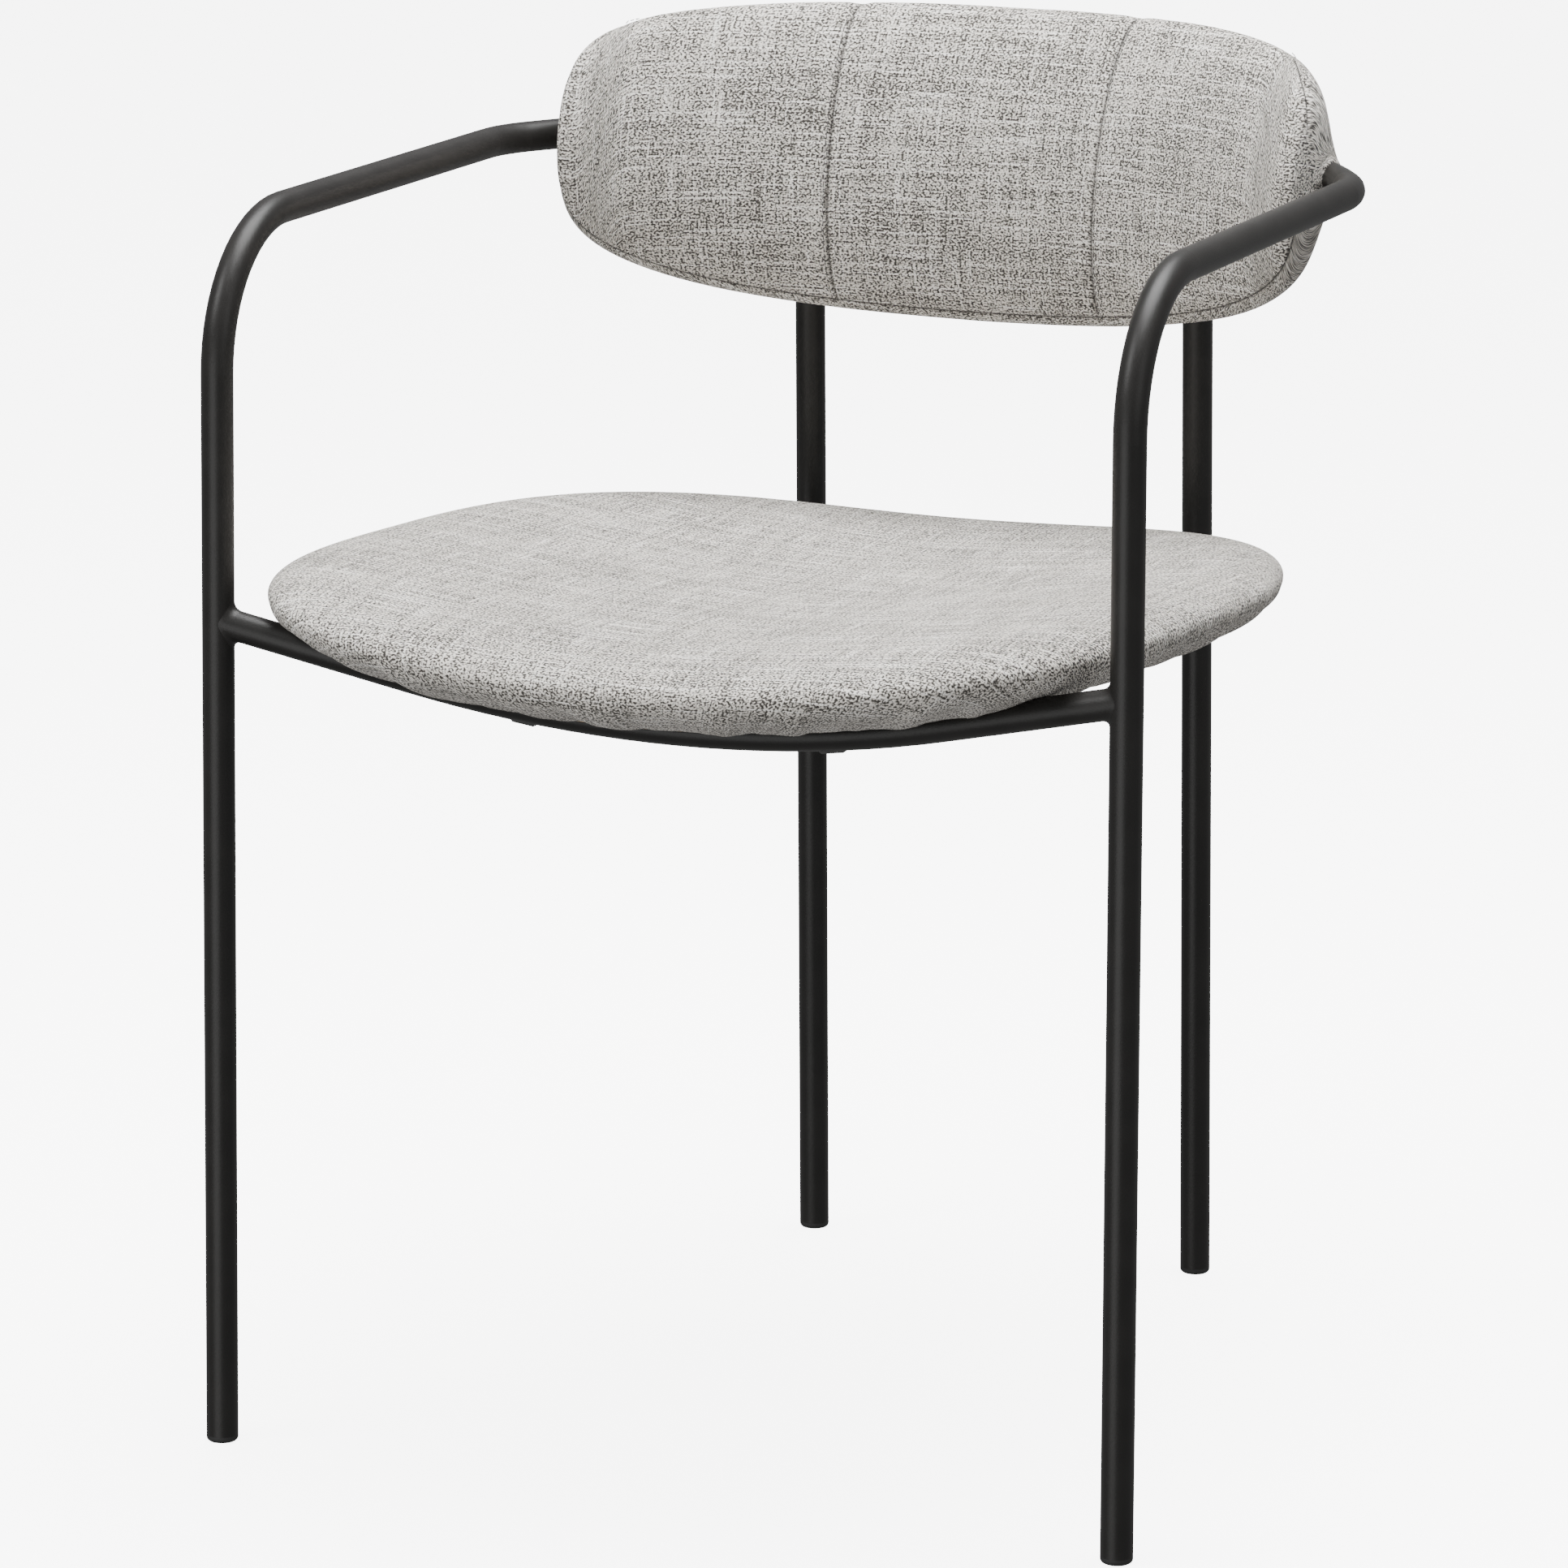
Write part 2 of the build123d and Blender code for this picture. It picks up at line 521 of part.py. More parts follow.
# ---- back ----
def back_section(share, grow):
    """One upright section of the back: half an ellipse in front of the rim curve, half behind."""
    along = share * (BACK_HALF_LENGTH + grow)
    angle = share * BACK_HALF_LENGTH / BACK_CURVE_RADIUS
    fullness = (1 - abs(share) ** BACK_END_EXPONENT) ** (1 / BACK_SIDE_EXPONENT)
    half_height = (BACK_HALF_HEIGHT + grow) * fullness
    front = (BACK_FRONT_CROWN + grow) * fullness**BACK_CROWN_POWER
    rear = (BACK_REAR_CROWN + grow) * fullness**BACK_CROWN_POWER
    x = BACK_CURVE_RADIUS * sin(angle) + (along - share * BACK_HALF_LENGTH)
    middle = (-BACK_CURVE_RADIUS * (1 - cos(angle)), 0)
    halves = [
        EllipticalCenterArc(middle, front, half_height, start_angle=90, arc_size=180),
        EllipticalCenterArc(middle, rear, half_height, start_angle=270, arc_size=180),
    ]
    return Plane(origin=(x, 0, 0), x_dir=(0, 1, 0), z_dir=(1, 0, 0)) * make_face(halves)


def back_body(grow):
    """The back's soft body, grown by a margin, in the back's own plane."""
    turns = range(-BACK_SECTIONS, BACK_SECTIONS + 1)
    last = radians(BACK_LAST_SECTION)
    return loft([back_section(sin(last * turn / BACK_SECTIONS), grow) for turn in turns])


def back_cylinder(offset):
    """Everything in front of the rim curve moved back by an offset, in the back's own plane."""
    return Pos(0, -BACK_CURVE_RADIUS, 0) * Cylinder(BACK_CURVE_RADIUS + offset, 4 * BACK_HALF_HEIGHT)


def hoop_sleeve(radius, trim):
    """A bar round the part of the hoop's axis that the back encloses."""
    start = degrees(acos((BACK_SLEEVE_SPAN / 2 - trim) / HOOP_RADIUS))
    line = ARM_PLANE * CenterArc(HOOP_CENTRE, HOOP_RADIUS, start, 180 - 2 * start)
    return swept(joined_path([line]), radius)


def back_solid(grow):
    """The back's soft body with the sleeve that wraps the hoop."""
    return BACK_PLANE * back_body(grow) + hoop_sleeve(BACK_SLEEVE_RADIUS + grow, -grow)


def make_back():
    in_front = BACK_PLANE * back_cylinder(0)
    skin = back_solid(0) - back_solid(-CLOTH)
    inside = back_body(-CLOTH - GAP)
    panel_slab = back_cylinder(BACK_PANEL_OFFSET + BACK_PANEL_THICKNESS) - back_cylinder(BACK_PANEL_OFFSET)
    panel_room = back_cylinder(BACK_PANEL_OFFSET + BACK_PANEL_THICKNESS + GAP)
    panel = BACK_PLANE * (back_body(-BACK_PANEL_INSET) & panel_slab)
    panel_room &= back_body(GAP - BACK_PANEL_INSET)
    foam_front = BACK_PLANE * (inside & back_cylinder(BACK_PANEL_OFFSET - GAP))
    foam_rear = BACK_PLANE * (inside - back_cylinder(BACK_PANEL_OFFSET) - panel_room)

    tubes = swept(hoop_path(), TUBE_RADIUS + GAP)
    foam_rear -= hoop_sleeve(TUBE_RADIUS + GAP, -TUBE_DIAMETER)
    for side in SIDES:
        leg = sided(rod(REAR_FOOT, REAR_TOP, TUBE_RADIUS + GAP + WELD_SIZE), side)
        tubes += leg
        foam_rear -= leg
    cover_rear = skin - in_front - (BACK_PLANE * back_cylinder(GAP)) - tubes
    cover_front = (skin & in_front) - tubes

    nuts, bolts, saddles = [], [], []
    hoop = hoop_sleeve(TUBE_RADIUS, 0)
    for point, way, reach in back_bolt_lines():
        panel_back = point - way * (reach - BACK_PANEL_OFFSET - BACK_PANEL_THICKNESS)
        face = panel_back - way * (BACK_PANEL_THICKNESS - NUT_SINK)
        nuts.append(tee_nut(face, way))
        bolts.append(bolt(face + way * NUT_FLANGE_THICKNESS, point + way * TUBE_RADIUS, way))
        block = rod(panel_back - way * NUT_SINK, point - way * SADDLE_LIP, SADDLE_RADIUS)
        hole = rod(face, point, BOLT_RADIUS + BOLT_CLEARANCE)
        room = BACK_PLANE * back_cylinder(BACK_PANEL_OFFSET + BACK_PANEL_THICKNESS + GAP / 2)
        saddles.append(largest_solids(block - room - hoop - hole, 1))
        cavity = rod(panel_back, point, SADDLE_RADIUS + GAP)
        head_end = point + way * (TUBE_RADIUS + BOLT_HEAD_HEIGHT + GAP)
        cavity += rod(point, head_end, BOLT_HEAD_DIAMETER / 2 + GAP)
        pocket = tee_nut_pocket(face, way)
        for side in SIDES:
            panel -= sided(pocket, side)
            foam_rear -= sided(cavity, side)

    middle = Box(BACK_SEAM_SPACING, 8 * BACK_FRONT_CROWN, 4 * BACK_HALF_HEIGHT)
    middle = Pos(0, BACK_DEPTH, BACK_HEIGHT) * middle
    outer = Pos(BACK_SEAM_SPACING / 2 + HOOP_RADIUS, BACK_DEPTH, BACK_HEIGHT) * Box(
        2 * HOOP_RADIUS, 4 * HOOP_RADIUS, 4 * BACK_HALF_HEIGHT
    )
    return {
        "back_cover_centre": cover_front & middle,
        "back_cover_left": cover_front & mirror(outer, about=Plane.YZ),
        "back_cover_right": cover_front & outer,
        "back_cover_rear": cover_rear,
        "back_foam_front": foam_front,
        "back_foam_rear": foam_rear,
        "back_panel": panel,
        "back_saddles": on_both_sides(saddles),
        "back_tee_nuts": on_both_sides(nuts),
        "back_bolts": on_both_sides(bolts),
    }


def main():
    nodes, bars = make_frame()
    nodes |= make_welds()
    nodes |= make_glides()
    nodes |= make_seat(bars)
    nodes |= make_back()
    box = Compound(children=[solid for shape in nodes.values() for solid in shape.solids()]).bounding_box()
    middle = box.center()
    os.makedirs("parts", exist_ok=True)
    for name, shape in nodes.items():
        export_step(Pos(-middle.X, -middle.Y, 0) * shape, f"parts/{name}.step")
    print("size", box.size, "origin behind the front legs by", middle.Y)


if __name__ == "__main__":
    main()
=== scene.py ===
import json
import math

import bpy
import numpy as np
from bpy.props import FloatProperty, FloatVectorProperty, IntProperty, PointerProperty
from mathutils import Matrix, Vector


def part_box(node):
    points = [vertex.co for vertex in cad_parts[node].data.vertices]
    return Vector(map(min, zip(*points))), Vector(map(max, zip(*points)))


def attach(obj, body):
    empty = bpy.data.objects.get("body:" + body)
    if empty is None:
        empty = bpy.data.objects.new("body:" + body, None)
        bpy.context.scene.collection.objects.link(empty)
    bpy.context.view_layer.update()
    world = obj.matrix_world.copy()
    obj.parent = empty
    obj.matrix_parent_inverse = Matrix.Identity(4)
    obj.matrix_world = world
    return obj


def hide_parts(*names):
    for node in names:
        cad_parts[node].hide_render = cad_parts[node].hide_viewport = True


bl_info = {
    "name": "Dining Armchair",
    "version": (1, 0, 0),
    "blender": (4, 5, 0),
    "location": "View3D > Sidebar > Armchair",
    "description": "Upholstery, seams, welds and finishes for a welded-tube dining armchair",
    "category": "Add Mesh",
}

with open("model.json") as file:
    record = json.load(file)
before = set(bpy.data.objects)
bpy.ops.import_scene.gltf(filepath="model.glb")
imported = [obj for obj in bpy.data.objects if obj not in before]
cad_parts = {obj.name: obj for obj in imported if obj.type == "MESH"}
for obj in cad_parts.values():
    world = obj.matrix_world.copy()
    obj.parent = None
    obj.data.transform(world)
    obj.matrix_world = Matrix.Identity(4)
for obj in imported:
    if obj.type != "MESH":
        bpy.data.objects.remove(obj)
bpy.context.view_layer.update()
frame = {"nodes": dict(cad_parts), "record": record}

MM = 0.001
BODY = "root"
CLOTH_UV = "cloth"          # thread directions, in metres along the cloth
PAINTED_SEAM_SHADE = "painted_seam_shade"           # painted seam shade: 1 in a seam, fading to 0 beside it
CLOTH_SLOT = "upholstery_cloth"
FRAME_SLOT = "frame_paint"


# ---- places taken from the frame ----
def node_middle(node):
    low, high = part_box(node)
    return (low + high) / 2


LEGS_Y = node_middle("glide_front_left").y
FRONT_FOOT_X = node_middle("glide_front_right").x
SEAT_LOW, SEAT_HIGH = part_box("seat_cover")
HOOP_LOW, HOOP_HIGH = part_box("arm_hoop")


# ---- settings ----
def length(label, default, description):
    return FloatProperty(
        name=label, default=default, description=description, unit="LENGTH", subtype="DISTANCE"
    )


def share(label, default, description):
    return FloatProperty(name=label, default=default, description=description, subtype="FACTOR")


def angle(label, degrees, description):
    return FloatProperty(
        name=label, default=math.radians(degrees), description=description, unit="ROTATION", subtype="ANGLE"
    )


def count(label, default, description):
    return IntProperty(name=label, default=default, description=description, min=1)


def colour(label, default, description):
    return FloatVectorProperty(
        name=label, default=default, description=description, subtype="COLOR", size=3, min=0, max=1
    )


class SeatSettings(bpy.types.PropertyGroup):
    """The seat cushion's shape."""

    depth: length("Widest line", LEGS_Y + 186.1 * MM, "Where the seat is widest, front to back")
    level: length("Level", 455.2 * MM, "Height of the cushion's middle surface on that line")
    front_power: FloatProperty(name="Front squareness", default=3.6, description="Power of the front outline")
    rear_power: FloatProperty(name="Rear squareness", default=2.54, description="Power of the rear outline")
    dish: FloatProperty(name="Dish", default=0.558, description="Rise to each side, per metre squared")
    dish_ease: FloatProperty(name="Dish ease", default=1.71, description="Flattening, per metre^4")
    front_curl: FloatProperty(name="Front curl", default=-0.0635, description="Front bend, per metre squared")
    rear_curl: FloatProperty(name="Rear curl", default=0.2285, description="Rear bend, per metre squared")
    slope: FloatProperty(name="Slope", default=0.04945, description="Fall towards the back")
    crown: length("Crown", 20.7 * MM, "Top over the middle surface")
    belly: length("Belly", 22.7 * MM, "Underside below the middle surface")
    edge_power: FloatProperty(name="Edge fullness", default=8.28, description="Higher is squarer at the rim")
    gather: length("Gather", 1.2 * MM, "Waves of the cloth where it turns under the edge")
    tuck: length("Tuck", 3.0 * MM, "How far the underside lifts inside the lining")
    lining_share: share("Lining share", 0.76, "Size of the lining against the seat's outline")
    hem_share: share("Hem share", 0.86, "Where the folded hem runs, against the seat's outline")
    hem: length("Hem", 2.2 * MM, "How far the folded hem hangs down")


class BackSettings(bpy.types.PropertyGroup):
    """The back cushion's shape."""

    depth: length("Depth", LEGS_Y + 497.15 * MM, "Middle of the rim, front to back")
    level: length("Level", 675.4 * MM, "Height of the middle of the rim")
    curve: length("Curve radius", 310.35 * MM, "Radius of the rim seen from above")
    half_length: length("Half length", 262.0 * MM, "Along the rim, middle to end")
    upper: length("Upper half", 97.5 * MM, "Rim line up to the top edge")
    lower: length("Lower half", 89.4 * MM, "Rim line down to the bottom edge")
    front_crown: length("Front crown", 46.0 * MM, "Front face before the rim")
    rear_crown: length("Rear crown", 54.0 * MM, "Rear face behind the rim")
    recline: FloatProperty(
        name="Recline", default=0.23, description="Lean", unit="ROTATION", subtype="ANGLE"
    )
    end_power: FloatProperty(name="End power", default=2.15, description="Squareness towards the ends")
    side_power: FloatProperty(name="Side power", default=4.264, description="Squareness at top and bottom")
    crown_power: FloatProperty(name="Crown power", default=0.75, description="Thinning towards the ends")
    lift: FloatProperty(name="Lift", default=0.267, description="Rise towards the ends, per metre squared")
    fan: share("Fan", 0.163, "How far the sections turn with the curve")
    seam_place: length("Seam place", 86.1 * MM, "Upright seams, from the middle")
    seam_lean: share("Seam lean", 0.019, "Widening of the upright seams towards the top")
    seam_depth: length("Seam depth", 2.2 * MM, "Depth of an upright seam's groove")
    seam_width: length("Seam width", 5.0 * MM, "Half width of an upright seam's groove")
    rim_band: length("Rim band", 12.0 * MM, "Covers join this far before the rim at the bottom")
    top_band: length("Top band", 2.5 * MM, "Covers join this far behind the rim at the top")
    sleeve: length("Sleeve radius", 12.3 * MM, "Cloth round the hoop")
    lip: length("Lip", 3.5 * MM, "Length of the sleeve's rounded end")
    hoop_radius: length("Hoop radius", 291.0 * MM, "Radius of the hoop's axis behind the back")


class ThreadSettings(bpy.types.PropertyGroup):
    """Sewing thread."""

    radius: length("Radius", 0.32 * MM, "Radius of a stitch")
    stitch: length("Stitch", 2.7 * MM, "Length of one stitch")
    gap: length("Gap", 1.3 * MM, "Space between two stitches")
    offset: length("Offset", 2.5 * MM, "Stitch line beside the upright seam")
    colour: colour("Colour", (0.045, 0.042, 0.04), "Thread colour")


class ClothSettings(bpy.types.PropertyGroup):
    """The slubbed linen-look cloth."""

    pitch: length("Pitch", 0.9 * MM, "From one thread to the next")
    slub: colour("Slub", (1.0, 0.965, 0.91), "Thick light threads")
    light: colour("Light", (0.82, 0.775, 0.71), "Lightest threads")
    dark: colour("Dark", (0.052, 0.048, 0.043), "Darkest threads")
    # painted shade: a dark colour mixed into the cloth inside the seams, where shade falls
    shade: colour("Shade", (0.03, 0.028, 0.026), "Inside a seam")


class FrameSettings(bpy.types.PropertyGroup):
    """The powder-coated tubes and their welds."""

    arm_level: length("Arm level", 690.0 * MM, "Height of the arms' axis over the front legs")
    arm_slope: angle("Arm slope", 0.64, "Rise of the arms to the back")
    leg_lean: length("Leg lean", 4.0 * MM, "How much nearer the middle a leg's top stands than its foot")
    rail_radius: length("Rail radius", 8.5 * MM, "Radius of the front rail's tube")
    rail_level: length("Rail level", 472.0 * MM, "Height of the front rail's ends")
    rail_dip: length("Rail dip", 43.5 * MM, "How far the rail's middle is below its ends")
    rail_set_back: length("Rail set back", 25.0 * MM, "How far the rail's middle is behind its ends")
    rail_fall: angle("Rail fall", 15.173, "Slope of the rail where it meets a leg")
    paint: colour("Paint", (0.0125, 0.0117, 0.011), "Powder coat")
    plastic: colour("Plastic", (0.012, 0.012, 0.012), "Glides")
    fillet: length("Fillet", 5.5 * MM, "Size of the weld between rail and leg")


class StageSettings(bpy.types.PropertyGroup):
    """Floor, light and camera."""

    aim: FloatVectorProperty(
        name="Aim", description="Point the camera looks at", size=3, unit="LENGTH", subtype="TRANSLATION",
        default=(-7.24 * MM, LEGS_Y + 193.2 * MM, 363.9 * MM),
    )
    azimuth: angle("Azimuth", 22.258, "Camera round the chair, from the front")
    elevation: angle("Elevation", 12.569, "Camera above the horizon")
    roll: angle("Roll", 0.403, "Camera turned about its own axis")
    distance: length("Distance", 4050.4 * MM, "Camera to aim point")
    lens: FloatProperty(name="Lens", default=164.68, description="Focal length", unit="CAMERA")
    floor: colour("Floor", (0.93, 0.93, 0.925), "Floor colour")
    glow: FloatProperty(name="Floor glow", default=6.5, description="Light given off by the studio floor")
    sky: FloatProperty(name="Sky", default=0.36, description="Strength of the even studio light")


# ---- meshes from arrays ----
def add_mesh(name, points, faces, finish, texture=None, painted_seam_shade=None):
    """One smooth mesh object riding on the frame, from point and face arrays."""
    mesh = bpy.data.meshes.new(name)
    mesh.from_pydata(points.reshape(-1, 3).tolist(), [], faces)
    mesh.polygons.foreach_set("use_smooth", np.ones(len(mesh.polygons), bool))
    if texture is not None:
        layer = mesh.uv_layers.new(name=CLOTH_UV)
        layer.data.foreach_set("uv", texture.astype(np.float32).ravel())
    # the painted seam shade mask is stored on the points for the cloth material
    if painted_seam_shade is not None:
        attribute = mesh.attributes.new(PAINTED_SEAM_SHADE, "FLOAT", "POINT")
        attribute.data.foreach_set("value", painted_seam_shade.astype(np.float32).ravel())
    mesh.update()
    mesh.materials.append(finish)
    piece = bpy.data.objects.new(name, mesh)
    bpy.context.scene.collection.objects.link(piece)
    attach(piece, BODY)
    return piece


def wrapped_grid_faces(rows, columns):
    """Quads of a grid whose last column joins its first, and each quad's corners in an unwrapped grid."""
    row, column = np.meshgrid(np.arange(rows - 1), np.arange(columns), indexing="ij")
    row, column = row.ravel(), column.ravel()
    beside = (column + 1) % columns
    faces = np.stack([
        row * columns + column, row * columns + beside,
        (row + 1) * columns + beside, (row + 1) * columns + column,
    ], 1)
    corners = np.stack([
        row * (columns + 1) + column, row * (columns + 1) + column + 1,
        (row + 1) * (columns + 1) + column + 1, (row + 1) * (columns + 1) + column,
    ], 1)
    return faces, corners


def closed_form(name, points, texture, finish, painted_seam_shade=None):
    """A closed piece from rings of points: quads between rings and a fan on each end's middle.

    texture has one more column than points, so that the cloth may start again where a ring closes.
    """
    rows, columns = points.shape[:2]
    faces, corners = wrapped_grid_faces(rows, columns)
    first, last = rows * columns, rows * columns + 1
    ring = np.arange(columns)
    beside = (ring + 1) % columns
    base = (rows - 1) * columns
    fans = np.concatenate([
        np.stack([np.full(columns, first), beside, ring], 1),
        np.stack([np.full(columns, last), base + ring, base + beside], 1),
    ])
    flat = texture.reshape(-1, 2)
    tips = np.stack([texture[0].mean(0), texture[-1].mean(0)])
    end = (rows - 1) * (columns + 1)
    fan_texture = np.concatenate([
        np.stack([np.broadcast_to(tips[0], (columns, 2)), flat[ring + 1], flat[ring]], 1),
        np.stack([np.broadcast_to(tips[1], (columns, 2)), flat[end + ring], flat[end + ring + 1]], 1),
    ])
    vertices = np.concatenate([
        points.reshape(-1, 3), points[0].mean(0)[None], points[-1].mean(0)[None]
    ])
    loops = np.concatenate([flat[corners].reshape(-1, 2), fan_texture.reshape(-1, 2)])
    if painted_seam_shade is not None:
        painted_seam_shade = np.concatenate([painted_seam_shade.ravel(), [0, 0]])
    return add_mesh(name, vertices, faces.tolist() + fans.tolist(), finish, loops, painted_seam_shade)


def run_length(points, axis):
    """Length along an array of points, starting at 0."""
    steps = np.linalg.norm(np.diff(points, axis=axis), axis=-1)
    start = np.zeros_like(np.take(steps, [0], axis=axis))
    return np.cumsum(np.concatenate([start, steps], axis=axis), axis=axis)


def unit(vectors):
    return vectors / np.maximum(np.linalg.norm(vectors, axis=-1, keepdims=True), 1e-12)


def smooth_step(values, low, high):
    """0 below low, 1 above high, and 3t^2 - 2t^3 between them."""
    t = np.clip((values - low) / (high - low), 0, 1)
    return t * t * (3 - 2 * t)


def bell(values, width):
    """exp(-(value / width)^2)."""
    return np.exp(-((values / width) ** 2))


def ripple(along, waves):
    """A sum of sines: each wave is its height, its wavelength and its phase."""
    return sum(height * np.sin(2 * np.pi * along / wavelength + phase) for height, wavelength, phase in waves)


def grid_normals(points):
    """Unit normals of a grid whose columns close: the cross product of its two directions."""
    along = np.gradient(points, axis=0)
    round_ring = np.roll(points, -1, axis=1) - np.roll(points, 1, axis=1)
    return unit(np.cross(along, round_ring))


# ---- seat ----
RINGS_TOP = 70
RINGS_RIM = 46
SEAT_TURNS = 560
FLAT_SHARE = 0.86           # the rim's rings start at this share of the outline
GATHERS = [(1.0, 31, 0.4), (0.7, 47, 2.1), (0.5, 19, 1.0), (0.35, 83, 0.0)]     # height, waves, phase
PLEATS = [(0.5, 150, 0.0), (0.5, 97, 1.0)]
PLEAT_SHARE = 0.4           # of the gathers' size
HEM_WIDTH = 0.05            # share of the seat's outline
SEAT_WAVES_ACROSS = [(0.4, 0.23, 0.3), (0.3, 0.13, 1.7)]    # height in mm, wavelength in m, phase
SEAT_WAVES_ALONG = [(0.8, 0.19, 0.9)]


def seat_outline(size, turn):
    """Reach from the seat's middle at each turn.

    A superellipse: (|cos| / half width)^n + (|sin| / length)^n = 1, with its own n and length in
    front of the widest line and behind it.
    """
    half_width = (SEAT_HIGH.x - SEAT_LOW.x) / 2
    front = np.sin(turn) < 0
    reach_along = np.where(front, size.depth - SEAT_LOW.y, SEAT_HIGH.y - size.depth)
    power = np.where(front, size.front_power, size.rear_power)
    across, along = np.abs(np.cos(turn)) / half_width, np.abs(np.sin(turn)) / reach_along
    return (across**power + along**power) ** (-1 / power)


def seat_surface(size, ring, side, turn):
    """Points of the seat cushion.

    ring is 0 in the middle and 1 at the rim, side is +1 on top and -1 below. The middle surface is
    level + dish x^2 - ease x^4 + curl y^2 - slope y, and the cushion stands off it by
    crown * sqrt(1 - ring^power).
    """
    reach = ring * seat_outline(size, turn)
    x, y = reach * np.cos(turn), reach * np.sin(turn)
    curl = np.where(y < 0, size.front_curl, size.rear_curl)
    middle = size.level + size.dish * x**2 - size.dish_ease * x**4 + curl * y**2 - size.slope * y
    cap = np.sqrt(np.clip(1 - ring**size.edge_power, 0, 1))
    z = middle + np.where(side > 0, size.crown, -size.belly) * cap
    return np.stack([x, size.depth + y, z], -1)


def seat_rings(size):
    """Ring shares and sides from the top's middle, over the rim, to the underside's middle."""
    flat = np.linspace(0, FLAT_SHARE, RINGS_TOP + 1)[1:]
    rim_start = math.asin(math.sqrt(1 - FLAT_SHARE**size.edge_power))
    slopes = np.linspace(rim_start, 0, RINGS_RIM + 1)[1:]
    rim = np.cos(slopes) ** (2 / size.edge_power)
    ring = np.concatenate([flat, rim, rim[:-1][::-1], flat[::-1]])
    side = np.where(np.arange(len(ring)) < RINGS_TOP + RINGS_RIM, 1.0, -1.0)
    return ring, side


def make_seat_cushion(size, finish):
    """The cushion's surface with the cloth gathered where it turns under the rim.

    The gathers are sines along the rim, strongest just below it, and they fade to nothing on top.
    Below, the cloth hangs a little at its folded hem and lifts inside the lining's outline.
    """
    ring, side = seat_rings(size)
    turn = np.arange(SEAT_TURNS) * 2 * np.pi / SEAT_TURNS
    points = seat_surface(size, ring[:, None], side[:, None], turn[None])
    height = side * np.sqrt(np.clip(1 - ring**size.edge_power, 0, 1))
    top = np.ones((1, 1))
    rim_run = run_length(seat_surface(size, top, top, turn[None]), 1)[0]
    total = rim_run[-1] + rim_run[1]
    gathers = ripple(rim_run, [(high, total / waves, phase) for high, waves, phase in GATHERS])
    under = smooth_step(-height, -0.1, 0.75) * smooth_step(ring, 0.8, 0.93)
    normals = grid_normals(points)
    outward = np.sign(normals[RINGS_TOP // 2, 0, 2])
    points = points + outward * normals * (size.gather * gathers * under[:, None])[..., None]

    pleats = ripple(rim_run, [(high, total / waves, phase) for high, waves, phase in PLEATS])
    folded = smooth_step(-height, 0.7, 0.95) * smooth_step(ring, 0.7, 0.9) * smooth_step(1 - ring, 0, 0.03)
    below = smooth_step(-height, 0.0, 0.9)
    inside = below * (1 - smooth_step(ring, size.lining_share, size.lining_share + 0.04))
    hem = below * bell(ring - size.hem_share, HEM_WIDTH)
    points[..., 2] += PLEAT_SHARE * size.gather * pleats * folded[:, None]
    points[..., 2] += (size.tuck * inside - size.hem * hem)[:, None]
    soft = ripple(points[..., 0], SEAT_WAVES_ACROSS) * ripple(points[..., 1], SEAT_WAVES_ALONG)
    points[..., 2] += MM * soft * (smooth_step(height, 0.5, 0.95))[:, None]

    middle = seat_surface(size, 0 * turn[None], top, turn[None])
    run = run_length(np.concatenate([middle, points]), 0)[1:]
    run = np.concatenate([run, run[:, :1]], 1)
    closed_turn = np.concatenate([turn, turn[:1]])
    texture = np.stack([run * np.cos(closed_turn), run * np.sin(closed_turn)], -1)
    piece = closed_form("seat_cushion", points[:, ::-1], texture[:, ::-1], finish)
    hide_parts("seat_cover", "seat_foam")
    return piece


# ---- back ----
HOOP_SOFTNESS = 2.0 * MM    # how softly the cloth goes from the cushion to the sleeve
HOOP_TRIES = 12             # steps to find where a section meets the hoop
INNER_SHARE = 0.851         # evenly spaced sections up to this share of the half length
INNER_ROWS = 160
BACK_WAVE = 0.8 * MM
BACK_WAVES_ALONG = [(0.5, 0.21, 0.2), (0.35, 0.087, 1.1)]   # share, wavelength in m, phase
BACK_WAVES_ROUND = [(0.6, 2.1, 0.5), (0.4, 1.05, 2.0)]      # share, wavelength in radians, phase
BACK_FRONT_TURNS = 112
BACK_REAR_TURNS = 84
END_ROWS = 52
LIP_ROWS = 10
DEPTH_EASE = (0.5, 0.5, 1.0)    # the cloth's threads follow height more than depth
TUBE_RADIUS = (HOOP_HIGH.x - HOOP_LOW.x) / 2 - FRONT_FOOT_X


def hoop_axis_y(size, x):
    """Depth of the hoop's axis at x: on the circle through the hoop's rear, as the frame has it."""
    rear = HOOP_HIGH.y - TUBE_RADIUS
    return rear - size.hoop_radius + np.sqrt(np.clip(size.hoop_radius**2 - x**2, 0, None))


def hoop_axis_z(y):
    """Height of the hoop's axis at depth y: the arms rise evenly to the back."""
    tubes = settings().frame
    return tubes.arm_level + math.tan(tubes.arm_slope) * (y - LEGS_Y)


